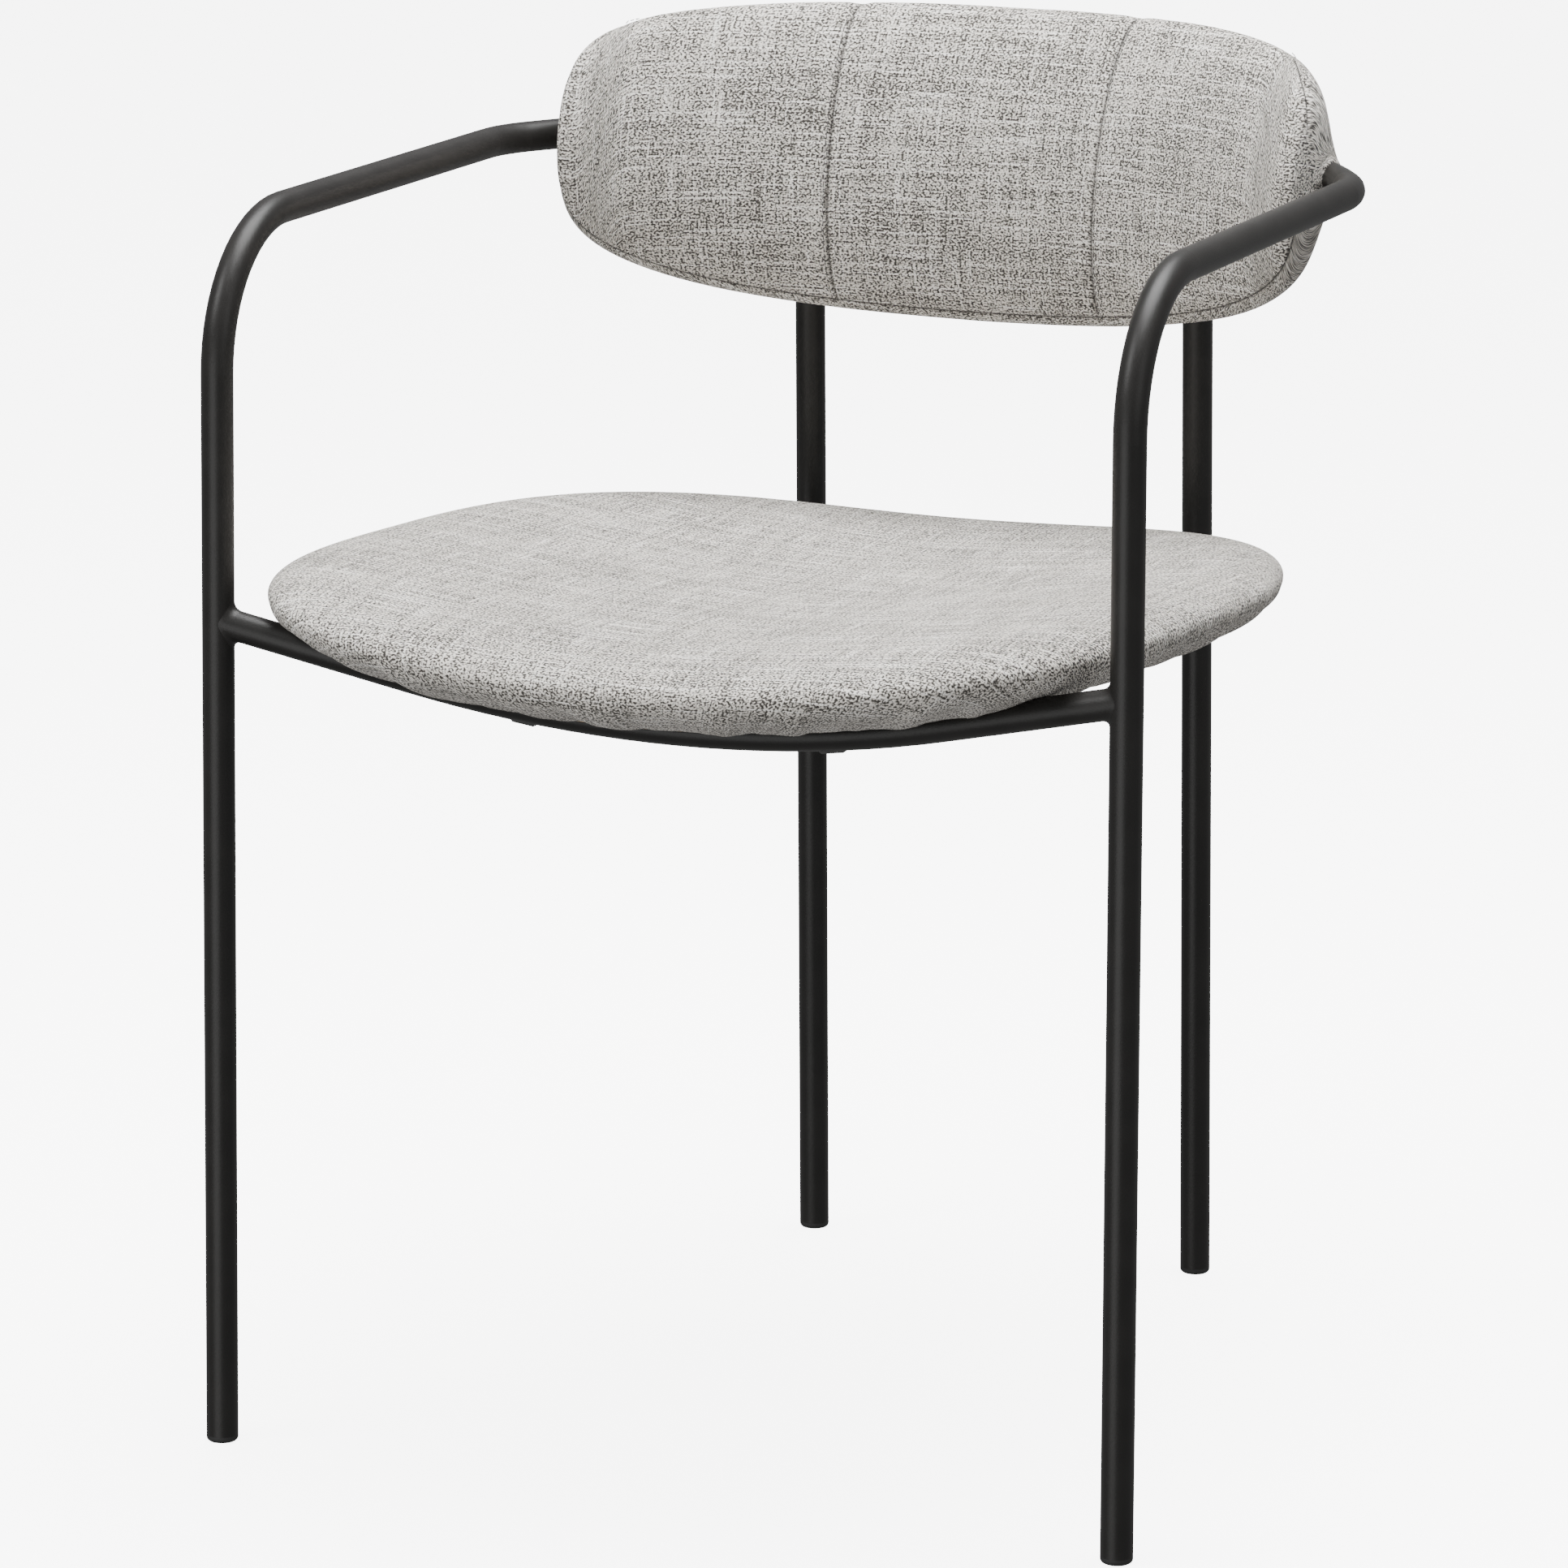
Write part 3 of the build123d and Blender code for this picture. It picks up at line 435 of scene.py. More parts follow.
def hoop_in_section(size, along):
    """The hoop's axis in each upright section: how far behind the rim line, how far up, and its stretch.

    A point at offset d from the rim lies at x = R sin + d sin * fan, so the offset is found by
    repeating x -> y of the hoop -> d a few times.
    """
    turn = along / size.curve
    forward = np.cos(turn) * size.fan + 1 - size.fan
    rim_y = size.depth - size.curve * (1 - np.cos(turn))
    x = size.curve * np.sin(turn)
    for _ in range(HOOP_TRIES):
        offset = (hoop_axis_y(size, x) - rim_y) / forward
        x = size.curve * np.sin(turn) + np.sin(turn) * offset * size.fan
    y = hoop_axis_y(size, x)
    rise = hoop_axis_z(y) - size.level - size.lift * along**2
    behind = offset * math.cos(size.recline) - rise * math.sin(size.recline)
    up = offset * math.sin(size.recline) + rise * math.cos(size.recline)
    slope = x / np.sqrt(np.clip(size.hoop_radius**2 - x**2, 1e-9, None))
    stretch = np.sqrt(1 + np.clip(slope, -0.8, 0.8) ** 2)
    return behind, up, stretch


def back_fullness(size, along):
    """Share of the full height left at this distance along the rim: (1 - |s / a|^p)^(1 / q)."""
    return np.clip(1 - np.abs(along / size.half_length) ** size.end_power, 0, 1) ** (1 / size.side_power)


def back_surface(size, along, turn, closing=0.0):
    """Points of the back cushion at distances along the rim and turns round its section.

    A section is the tight wrap of two shapes, each given by its support: how far it reaches in the
    direction (-cos turn, sin turn). One is an ellipse that is deeper behind the rim than before it,
    the other is the cloth sleeve round the hoop. The wrap reaches as far as the further of the two,
    blended softly, and its points are reach * direction + slope of reach * tangent. closing runs from
    0 to 1 past the ends, where the wrap narrows to the tube.
    """
    along, turn, closing = np.broadcast_arrays(along, turn, closing)
    fullness = back_fullness(size, along)
    crown = np.where(np.cos(turn) > 0, size.front_crown, size.rear_crown) * fullness**size.crown_power
    half = np.where(np.sin(turn) > 0, size.upper, size.lower) * fullness
    behind, up, stretch = hoop_in_section(size, along)
    cos, sin = np.cos(turn), np.sin(turn)
    reach = np.sqrt((crown * cos) ** 2 + (half * sin) ** 2) + 1e-9
    slope = (half**2 - crown**2) * sin * cos / reach
    reach = reach + closing * (up * sin - behind * cos)
    slope = slope + closing * (up * cos + behind * sin)
    sleeve = size.sleeve + (TUBE_RADIUS - 0.4 * MM - size.sleeve) * closing**2
    ring = np.sqrt((sleeve * stretch * cos) ** 2 + (sleeve * sin) ** 2)
    ring_slope = sleeve**2 * (1 - stretch**2) * sin * cos / ring
    tube_reach = ring + up * sin - behind * cos
    tube_slope = ring_slope + up * cos + behind * sin
    most = np.maximum(reach, tube_reach)
    body_part = np.exp((reach - most) / HOOP_SOFTNESS)
    tube_part = np.exp((tube_reach - most) / HOOP_SOFTNESS)
    parts = body_part + tube_part
    slope = (slope * body_part + tube_slope * tube_part) / parts
    depth = -most * cos + slope * sin
    height = most * sin + slope * cos
    bend = along / size.curve
    offset = depth * math.cos(size.recline) + height * math.sin(size.recline)
    x = size.curve * np.sin(bend) + np.sin(bend) * offset * size.fan
    y = size.depth - size.curve * (1 - np.cos(bend)) + offset * (np.cos(bend) * size.fan + 1 - size.fan)
    z = size.level + height * math.cos(size.recline) - depth * math.sin(size.recline) + size.lift * along**2
    return np.stack([x, y, z], -1)


def rim_seam_turn(size, along, hand):
    """The turn of the rim seam at the top (hand 1) or the bottom (hand -1) of a section.

    A section's ellipse is one band before the rim where cos^2 = band^2 half^2 / (crown^4 - band^2
    crown^2 + band^2 half^2). At the top the seam lies behind the rim, except near the ends.
    """
    fullness = np.maximum(back_fullness(size, along), 1e-4)
    to_end = smooth_step(np.abs(along), 0.8 * size.half_length, 0.95 * size.half_length)
    band = size.rim_band + 0 * along
    if hand > 0:
        band = (size.rim_band + size.top_band) * to_end - size.top_band
    crown = np.where(band > 0, size.front_crown, size.rear_crown) * fullness**size.crown_power
    half = np.where(hand > 0, size.upper, size.lower) * fullness
    band = np.clip(band, -0.6 * crown, 0.6 * crown)
    cos_squared = band**2 * half**2 / (crown**4 - band**2 * crown**2 + band**2 * half**2)
    return np.arccos(np.sign(band) * np.sqrt(np.clip(cos_squared, 0, 1)))


def back_rows(size):
    """Distances along the rim: close together beside the upright seams and towards the ends."""
    even = np.linspace(0, INNER_SHARE * size.half_length, 2000)
    density = 1 + 3.5 * bell(even - size.seam_place, 7 * MM)
    spread = np.cumsum(density)
    inner = np.interp(np.linspace(spread[0], spread[-1], INNER_ROWS), spread, even)
    edge = back_fullness(size, inner[-1])
    fullness = np.linspace(edge, 0, END_ROWS + 1)[1:]
    outer = size.half_length * (1 - fullness**size.side_power) ** (1 / size.end_power)
    lip = np.linspace(0, 1, LIP_ROWS + 1)[1:]
    half = np.concatenate([inner, outer, size.half_length + size.lip * np.sin(lip * np.pi / 2)])
    closing = np.concatenate([0 * inner, 0 * outer, lip])
    return np.concatenate([-half[:0:-1], half]), np.concatenate([closing[:0:-1], closing])


def make_back_cushion(size, finish):
    """The back cushion's surface with its sewn grooves.

    Upright seams are bell-shaped grooves along s = place * (1 + lean * v) on the front, and the rim
    seam is a narrow groove beside the rim.
    """
    along, closing = back_rows(size)
    top, bottom = rim_seam_turn(size, along, 1)[:, None], -rim_seam_turn(size, along, -1)[:, None]
    front = np.linspace(0, 1, BACK_FRONT_TURNS + 1)[None, :-1]
    rear = np.linspace(0, 1, BACK_REAR_TURNS + 1)[None, :-1]
    turn = np.concatenate([bottom + front * (top - bottom), top + rear * (2 * np.pi + bottom - top)], 1)
    points = back_surface(size, along[:, None], turn, closing[:, None])
    normals = grid_normals(points)
    middle_row, front_column = len(along) // 2, BACK_FRONT_TURNS // 2
    normals *= -np.sign(normals[middle_row, front_column, 1])

    ring_run = run_length(np.concatenate([points, points[:, :1]], 1), 1)
    seam_top = ring_run[:, BACK_FRONT_TURNS][:, None]
    total = ring_run[:, -1:]
    to_rim = np.minimum(np.minimum(ring_run, np.abs(ring_run - seam_top)), total - ring_run)[:, :-1]
    lean = 1 + size.seam_lean * np.sin(turn)
    to_upright = np.abs(np.abs(along[:, None]) - size.seam_place * lean)
    on_front = turn < top
    front_share = np.where(on_front, smooth_step(to_rim, 0, 6 * MM), 0)
    groove = size.seam_depth * (0.55 * bell(to_upright, size.seam_width) + 0.45 * bell(to_upright, 1.6 * MM))
    groove *= front_share
    rim_fade = smooth_step(size.half_length - np.abs(along), 0, 0.004)[:, None]
    rim_groove = 0.9 * MM * bell(to_rim, 1.5 * MM) + 0.5 * MM * bell(to_rim, 5 * MM)
    groove = groove + rim_groove * rim_fade
    soft = ripple(along[:, None], BACK_WAVES_ALONG) * ripple(turn, BACK_WAVES_ROUND)
    swell = BACK_WAVE * soft * rim_fade * smooth_step(to_rim, 0, 15 * MM)
    points = points + normals * (swell - groove)[..., None]
    # painted seam shade mask: 1 along the seam grooves and the rim seam, fading beside them
    painted_seam_shade = np.clip(bell(to_upright, 1.1 * MM) * front_share + bell(to_rim, 0.9 * MM) * rim_fade, 0, 1)

    row_run = run_length(points[:, front_column], 0)
    row_run = row_run - row_run[middle_row]
    closed = np.concatenate([points, points[:, :1]], 1)
    cloth_run = run_length(closed * DEPTH_EASE, 1)
    cloth_run = cloth_run - cloth_run[:, front_column][:, None]
    texture = np.stack([np.broadcast_to(row_run[:, None], cloth_run.shape), cloth_run], -1)
    piece = closed_form("back_cushion", points, texture, finish, painted_seam_shade)
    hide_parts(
        "back_cover_left", "back_cover_centre", "back_cover_right", "back_cover_rear",
        "back_foam_front", "back_foam_rear",
    )
    return piece


# ---- stitches ----
def capsule(radius, span, sides=6, rings=5):
    """A small rounded bar along x: radius * sin of the ring's angle, ends pushed apart by the span."""
    polar = np.linspace(0.15, np.pi - 0.15, rings)[:, None]
    around = np.arange(sides)[None] * 2 * np.pi / sides
    x = -np.cos(polar) * radius - np.sign(np.cos(polar)) * (span / 2 - radius) + 0 * around
    out = radius * np.sin(polar)
    points = np.stack([x, out * np.cos(around), out * np.sin(around)], -1)
    faces, _ = wrapped_grid_faces(rings, sides)
    caps = [list(range(sides)), list(range((rings - 1) * sides, rings * sides))[::-1]]
    return points.reshape(-1, 3), faces, caps


def stitches_along(points, normals, thread):
    """One capsule at each even step along a line of points, lying in the cloth."""
    run = run_length(points, 0)
    step = thread.stitch + thread.gap
    places = np.arange(step, run[-1] - step, step)
    centre = np.stack([np.interp(places, run, points[:, k]) for k in range(3)], -1)
    ahead = np.stack([np.interp(places + 0.5 * MM, run, points[:, k]) for k in range(3)], -1)
    up = unit(np.stack([np.interp(places, run, normals[:, k]) for k in range(3)], -1))
    tangent = unit(ahead - centre)
    side = np.cross(up, tangent)
    shape, faces, caps = capsule(thread.radius, thread.stitch)
    centre = centre + up * thread.radius * 0.25
    points = (
        centre[:, None] + shape[None, :, :1] * tangent[:, None]
        + shape[None, :, 1:2] * side[:, None] + shape[None, :, 2:] * up[:, None]
    )
    shift = np.arange(len(places))[:, None] * len(shape)
    all_faces = (faces[None] + shift[..., None]).reshape(-1, 4).tolist()
    for cap in caps:
        all_faces += (np.array(cap)[None] + shift).tolist()
    return points.reshape(-1, 3), all_faces


def surface_line(size, along, turn, sink):
    """A line on the back cushion with its outward normals, sunk by a depth."""
    step = 1e-4
    here = back_surface(size, along, turn)
    across = back_surface(size, along + step, turn) - here
    up = back_surface(size, along, turn + step) - here
    normals = unit(np.cross(across, up))
    outward = np.where(np.cos(turn) > 0, -1.0, 1.0)
    normals = normals * np.sign(normals[:, 1:2] * outward[:, None] + 1e-9)
    return here - normals * sink, normals


def make_stitches(size, thread, finish):
    """Stitch lines beside both upright seams and just inside the rim seam."""
    lines = []
    turns = np.linspace(-1.25, 1.25, 600)
    for hand in (-1, 1):
        along = hand * (size.seam_place * (1 + size.seam_lean * np.sin(turns)) + thread.offset)
        sink = size.seam_depth * 0.55 * math.exp(-((thread.offset / size.seam_width) ** 2))
        lines.append(surface_line(size, along, turns, sink))
    fullness = np.linspace(1, 0.05, 900)
    half = size.half_length * np.clip(1 - fullness**size.side_power, 0, 1) ** (1 / size.end_power)
    along = np.concatenate([-half[::-1], half[1:]])
    for hand in (-1, 1):
        lines.append(surface_line(size, along, hand * (rim_seam_turn(size, along, hand) - 0.02), 1.0 * MM))
    vertices, faces, start = [], [], 0
    for points, normals in lines:
        some_points, some_faces = stitches_along(points, normals, thread)
        vertices.append(some_points)
        faces += [[index + start for index in face] for face in some_faces]
        start += len(some_points)
    return add_mesh("back_stitches", np.concatenate(vertices), faces, finish)


# ---- welds ----
WELD_TURNS = 48
WELD_STRIPS = 14
WELD_SHARE = 0.95           # the weld's foot on the leg stays inside this share of the leg's radius
WELD_SINK = 0.3 * MM


def make_rail_welds(size, finish):
    """Smooth weld metal between the front rail's ends and the legs.

    Round the rail, three curves are known: on the leg one fillet outside the rail, the corner where
    the two surfaces meet, and on the rail one fillet from the corner. Each strip between them is the
    parabola (1-t)^2 A + 2t(1-t) B + t^2 C.
    """
    leg_foot = np.array([FRONT_FOOT_X, LEGS_Y, 0.0])
    leg_way = unit(np.array([-size.leg_lean, 0.0, size.arm_level]))
    end = leg_foot + leg_way * (size.rail_level / leg_way[2])
    reach = math.hypot(size.rail_dip, size.rail_set_back)
    fall = math.sin(size.rail_fall)
    back, down = size.rail_set_back / reach, size.rail_dip / reach
    way = np.array([-math.cos(size.rail_fall), back * fall, -down * fall])
    side = unit(np.cross(way, leg_way))
    up = np.cross(side, way)
    around = np.arange(WELD_TURNS) * 2 * np.pi / WELD_TURNS
    round_rail = np.cos(around)[:, None] * side + np.sin(around)[:, None] * up
    flat_way = way - (way @ leg_way) * leg_way

    def on_leg(radius):
        """Where a tube of this radius along the rail meets the leg's surface."""
        start = end + round_rail * radius
        offset = start - leg_foot
        flat = offset - (offset @ leg_way)[:, None] * leg_way
        a = flat_way @ flat_way
        b = 2 * flat @ flat_way
        c = (flat**2).sum(1) - TUBE_RADIUS**2
        root = (-b + np.sqrt(np.clip(b * b - 4 * a * c, 0, None))) / (2 * a)
        return start + root[:, None] * way

    outer, corner = on_leg(WELD_SHARE * TUBE_RADIUS), on_leg(size.rail_radius)
    upward = (np.sin(around) * np.abs(np.sin(around)))[:, None]
    outer = outer + leg_way * upward * WELD_SHARE * size.fillet
    inner = corner + way * size.fillet
    t = np.linspace(0, 1, WELD_STRIPS)[:, None, None]
    right = (1 - t) ** 2 * outer + 2 * t * (1 - t) * corner + t**2 * inner
    right[0] -= way * WELD_SINK
    left = right[:, ::-1] * np.array([-1.0, 1.0, 1.0])
    faces, _ = wrapped_grid_faces(WELD_STRIPS, WELD_TURNS)
    both = np.concatenate([right.reshape(-1, 3), left.reshape(-1, 3)])
    all_faces = faces.tolist() + (faces + WELD_STRIPS * WELD_TURNS).tolist()
    piece = add_mesh("rail_welds", both, all_faces, finish)
    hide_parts("welds_front_rail")
    return piece


# ---- shader expressions ----
class Signal:
    """A shader socket that can be used in sums. Each sum adds its Math node."""

    def __init__(self, finish, socket):
        self.finish, self.socket = finish, socket

    def math(self, operation, *terms):
        return self.finish.node("ShaderNodeMath", {"operation": operation}, *terms)

    def __add__(self, other):
        return self.math("ADD", self, other)

    __radd__ = __add__

    def __sub__(self, other):
        return self.math("SUBTRACT", self, other)

    def __rsub__(self, other):
        return self.math("SUBTRACT", other, self)

    def __mul__(self, other):
        return self.math("MULTIPLY", self, other)

    __rmul__ = __mul__

    def __truediv__(self, other):
        return self.math("DIVIDE", self, other)

    def __pow__(self, other):
        return self.math("POWER", self, other)


class Finish:
    """One procedural material and the calls that fill its node tree."""

    def __init__(self, name):
        self.material = bpy.data.materials.new(name)
        self.material.use_nodes = True
        self.tree = self.material.node_tree
        self.shader = self.tree.nodes["Principled BSDF"]

    def node(self, kind, settings, *values, out=0, **named):
        """Adds a node: its settings first, then its sockets by order or by identifier."""
        made = self.tree.nodes.new(kind)
        for key, value in settings.items():
            setattr(made, key, value)
        sockets = {socket.identifier.replace(" ", "_"): socket for socket in made.inputs}
        for socket, value in zip(made.inputs, values):
            self.feed(socket, value)
        for key, value in named.items():
            self.feed(sockets[key], value)
        return Signal(self, made.outputs[out])

    def feed(self, socket, value):
        if isinstance(value, Signal):
            self.tree.links.new(value.socket, socket)
        else:
            socket.default_value = value

    def set(self, **named):
        """Sets or links sockets of the main shader, with _ for each space in a socket's name."""
        for key, value in named.items():
            self.feed(self.shader.inputs[key.replace("_", " ")], value)

    def mix(self, amount, first, second):
        """A colour between two colours."""
        return self.node(
            "ShaderNodeMix", {"data_type": "RGBA"}, out=2,
            Factor_Float=amount, A_Color=paint(first), B_Color=paint(second),
        )

    def scaled(self, vector, factors):
        return self.node("ShaderNodeVectorMath", {"operation": "MULTIPLY"}, vector, factors)

    def noise(self, vector, detail=2.0, roughness=0.5):
        return self.node(
            "ShaderNodeTexNoise", {"noise_dimensions": "3D"},
            Vector=vector, Scale=1.0, Detail=detail, Roughness=roughness,
        )

    def ramp(self, value, low, high, bottom=0.0, top=1.0):
        """A smooth step from bottom to top while the value goes from low to high."""
        return self.node(
            "ShaderNodeMapRange", {"interpolation_type": "SMOOTHSTEP"},
            value, low, high, bottom, top,
        )

    def bump(self, height, distance, strength=1.0):
        return self.node("ShaderNodeBump", {}, Strength=strength, Distance=distance, Height=height)

    def object_place(self):
        return self.node("ShaderNodeTexCoord", {}, out=3)


def paint(value):
    """A colour of three numbers as the four that a socket takes."""
    return value if isinstance(value, Signal) else (*value[:3], 1.0)


def cloth_finish(cloth):
    """Slubbed plain weave: each thread has its own shade, and a few thick light slubs run both ways.

    The cloth's own map is in metres, so one thread is one unit after dividing by the pitch.
    """
    made = Finish("slubbed_cloth")
    place = made.node("ShaderNodeUVMap", {"uv_map": CLOTH_UV})
    thread = 1 / cloth.pitch
    wander = made.noise(made.scaled(place, (9.0, 9.0, 1.0)), detail=1.0)
    wobble = made.node("ShaderNodeVectorMath", {"operation": "SCALE"}, colour_output(wander), Scale=0.8 * MM)
    place = made.node("ShaderNodeVectorMath", {"operation": "ADD"}, place, wobble)
    weft = made.noise(made.scaled(place, (thread / 9, thread, 1.0)), detail=2.0, roughness=0.65)
    warp = made.noise(made.scaled(place, (thread, thread / 9, 1.0)), detail=2.0, roughness=0.65)
    grain = made.noise(made.scaled(place, (0.62 * thread, 0.8 * thread, 1.0)), detail=0.6, roughness=0.6)
    half_turns = made.scaled(place, (math.pi * thread, math.pi * thread, 1.0))
    split = made.node("ShaderNodeSeparateXYZ", {}, half_turns)
    up = Signal(made, split.socket.node.outputs[1])
    over = split.math("SINE", split) * up.math("SINE", up)
    top = made.ramp(over, -0.35, 0.35)
    threads = warp * top + weft * (1 - top)
    beads = made.ramp(grain, 0.40, 0.52, 0.1, 1.0)
    weft_slub = made.noise(made.scaled(place, (1 / 0.06, 0.5 * thread, 1.0)), detail=0.3)
    warp_slub = made.noise(made.scaled(place, (0.5 * thread, 1 / 0.045, 7.0)), detail=0.3)
    slubs = (made.ramp(weft_slub, 0.59, 0.68) + made.ramp(warp_slub, 0.63, 0.72) * 0.8) * beads
    weft_band = made.noise(made.scaled(place, (1 / 0.08, 1 / 0.004, 3.0)), detail=1.0)
    warp_band = made.noise(made.scaled(place, (1 / 0.004, 1 / 0.06, 5.0)), detail=1.0)
    patches = made.noise(made.scaled(place, (14.0, 14.0, 1.0)), detail=2.0)
    bands = weft_band * 0.2 + warp_band * 0.2 + patches * 0.1
    shade = threads * 0.45 + grain * 1.1 + bands - 0.525
    base = made.mix(made.ramp(shade, 0.36, 0.66), cloth.dark, cloth.light)
    base = made.mix(slubs, base, cloth.slub)
    fleck = made.ramp(weft * 0.5 + grain * 0.5, 0.40, 0.33)
    base = made.mix(fleck * 0.6, base, cloth.dark)
    # painted shade: the cloth is darkened towards the shade colour inside the seams
    painted_seam_shade = made.node("ShaderNodeAttribute", {"attribute_name": PAINTED_SEAM_SHADE}, out=2)
    base = made.mix(painted_seam_shade * 0.8, base, cloth.shade)
    relief = over.math("ABSOLUTE", over) * 0.4 + threads * 0.5 + grain * 0.6 + slubs * 0.7
    made.set(
        Base_Color=base, Roughness=0.95 - slubs * 0.1, Normal=made.bump(relief, 0.5 * MM, 0.9),
    )
    made.shader.inputs["Specular IOR Level"].default_value = 0.12
    made.shader.inputs["Sheen Weight"].default_value = 0.12
    made.shader.inputs["Sheen Roughness"].default_value = 0.5
    return made.material


def colour_output(noise):
    """The colour output of a noise, as a vector."""
    return Signal(noise.finish, noise.socket.node.outputs[1])


def paint_finish(size):
    """Fine-textured satin powder coat: small soft bumps, and a roughness that varies a little."""
    made = Finish("powder_coat")
    place = made.object_place()
    fine = made.noise(made.scaled(place, (1400.0, 1400.0, 1400.0)), detail=2.0, roughness=0.6)
    broad = made.noise(made.scaled(place, (45.0, 45.0, 45.0)), detail=2.0)
    tone = made.mix(made.ramp(broad, 0.35, 0.7), size.paint, tuple(1.25 * channel for channel in size.paint))
    made.set(
        Base_Color=tone, Roughness=0.33 + fine * 0.12 + broad * 0.04,
        Normal=made.bump(fine, 0.12 * MM, 0.5),
    )
    made.shader.inputs["Specular IOR Level"].default_value = 0.3
    return made.material


def plastic_finish(size):
    """Moulded plastic with a faint grain and light scuffing towards the floor."""
    made = Finish("glide_plastic")
    place = made.object_place()
    grain = made.noise(made.scaled(place, (900.0, 900.0, 900.0)), detail=2.0)
    scuff = made.ramp(made.noise(made.scaled(place, (260.0, 260.0, 60.0)), detail=3.0), 0.55, 0.75)
    made.set(
        Base_Color=made.mix(scuff * 0.3, size.plastic, (0.05, 0.05, 0.05)),
        Roughness=0.48 + scuff * 0.2, Normal=made.bump(grain, 0.05 * MM, 0.5),
    )
    return made.material


def thread_finish(thread):
    """Twisted sewing thread."""
    made = Finish("sewing_thread")
    place = made.object_place()
    twist = made.noise(made.scaled(place, (2500.0, 2500.0, 2500.0)), detail=1.0)
    made.set(
        Base_Color=made.mix(twist, thread.colour, tuple(2.2 * channel for channel in thread.colour)),
        Roughness=0.75, Normal=made.bump(twist, 0.1 * MM, 0.5),
    )
    return made.material


def lining_finish():
    """Black non-woven cloth: matted fibres."""
    made = Finish("lining_cloth")
    place = made.object_place()
    fibres = made.noise(made.scaled(place, (700.0, 1100.0, 700.0)), detail=4.0, roughness=0.7)
    made.set(
        Base_Color=made.mix(fibres, (0.012, 0.012, 0.012), (0.035, 0.035, 0.036)),
        Roughness=0.95, Normal=made.bump(fibres, 0.2 * MM, 0.6),
    )
    return made.material


def wood_finish():
    """Moulded plywood: long grain with narrow dark lines."""
    made = Finish("plywood")
    place = made.object_place()
    grain = made.noise(made.scaled(place, (160.0, 9.0, 160.0)), detail=5.0, roughness=0.65)
    made.set(
        Base_Color=made.mix(made.ramp(grain, 0.3, 0.7), (0.42, 0.27, 0.14), (0.66, 0.49, 0.3)),
        Roughness=0.6, Normal=made.bump(grain, 0.2 * MM, 0.4),
    )
    return made.material


def foam_finish():
    """Cut foam: fine open cells."""
    made = Finish("cut_foam")
    place = made.object_place()
    cells = made.node("ShaderNodeTexVoronoi", {}, Vector=made.scaled(place, (600.0, 600.0, 600.0)), Scale=1.0)
    made.set(
        Base_Color=made.mix(made.ramp(cells, 0.1, 0.7), (0.55, 0.5, 0.36), (0.8, 0.76, 0.62)),
        Roughness=0.95, Normal=made.bump(cells, 0.5 * MM, 0.6),
    )
    return made.material


def steel_finish(name, dark, light, roughness):
    """Plated or blackened fasteners with a fine cloudy surface."""
    made = Finish(name)
    place = made.object_place()
    cloud = made.noise(made.scaled(place, (500.0, 500.0, 500.0)), detail=3.0)
    made.set(Base_Color=made.mix(cloud, dark, light), Roughness=roughness + cloud * 0.15)
    made.shader.inputs["Metallic"].default_value = 1.0
    return made.material


def floor_finish(stage):
    """Plain pale floor with a barely visible unevenness."""
    made = Finish("studio_floor")
    place = made.object_place()
    cloud = made.noise(made.scaled(place, (1.5, 1.5, 1.5)), detail=2.0)
    darker = tuple(0.985 * channel for channel in stage.floor)
    made.set(Base_Color=made.mix(cloud, darker, stage.floor), Roughness=0.9)
    made.shader.inputs["Specular IOR Level"].default_value = 0.1
    made.shader.inputs["Emission Color"].default_value = (1, 1, 1, 1)
    made.shader.inputs["Emission Strength"].default_value = stage.glow
    return made.material


# ---- operators ----
def settings():
    return bpy.context.scene.armchair


def shared_finish(name, builder, *values):
    """The material of this name, made on its first use."""
    return bpy.data.materials.get(name) or builder(*values)


class ARMCHAIR_OT_frame_finishes(bpy.types.Operator):
    """Give every node of the fixed frame the finish of its material slot"""

    bl_idname = "armchair.frame_finishes"
    bl_label = "Frame finishes"

    def execute(self, context):
        size = settings().frame
        finishes = {
            FRAME_SLOT: shared_finish("powder_coat", paint_finish, size),
            "glide_plastic": shared_finish("glide_plastic", plastic_finish, size),
            CLOTH_SLOT: shared_finish("slubbed_cloth", cloth_finish, settings().cloth),
            "foam": foam_finish(),
            "plywood": wood_finish(),
            "lining_cloth": lining_finish(),
            "zinc_steel": steel_finish("zinc_plate", (0.45, 0.46, 0.47), (0.7, 0.7, 0.68), 0.3),
            "black_steel": steel_finish("black_oxide", (0.03, 0.03, 0.03), (0.07, 0.07, 0.07), 0.35),
        }
        for row in frame["record"]["subparts"]:
            node = frame["nodes"][row["node"]]
            node.data.materials.clear()
            node.data.materials.append(finishes[row["material_slot"]])
        return {"FINISHED"}


class ARMCHAIR_OT_seat(bpy.types.Operator):
    """Make the upholstered seat cushion"""

    bl_idname = "armchair.seat"
    bl_label = "Seat cushion"

    def execute(self, context):
        finish = shared_finish("slubbed_cloth", cloth_finish, settings().cloth)
        make_seat_cushion(settings().seat, finish)
        return {"FINISHED"}


class ARMCHAIR_OT_back(bpy.types.Operator):
    """Make the upholstered back cushion"""

    bl_idname = "armchair.back"
    bl_label = "Back cushion"

    def execute(self, context):
        finish = shared_finish("slubbed_cloth", cloth_finish, settings().cloth)
        make_back_cushion(settings().back, finish)
        return {"FINISHED"}


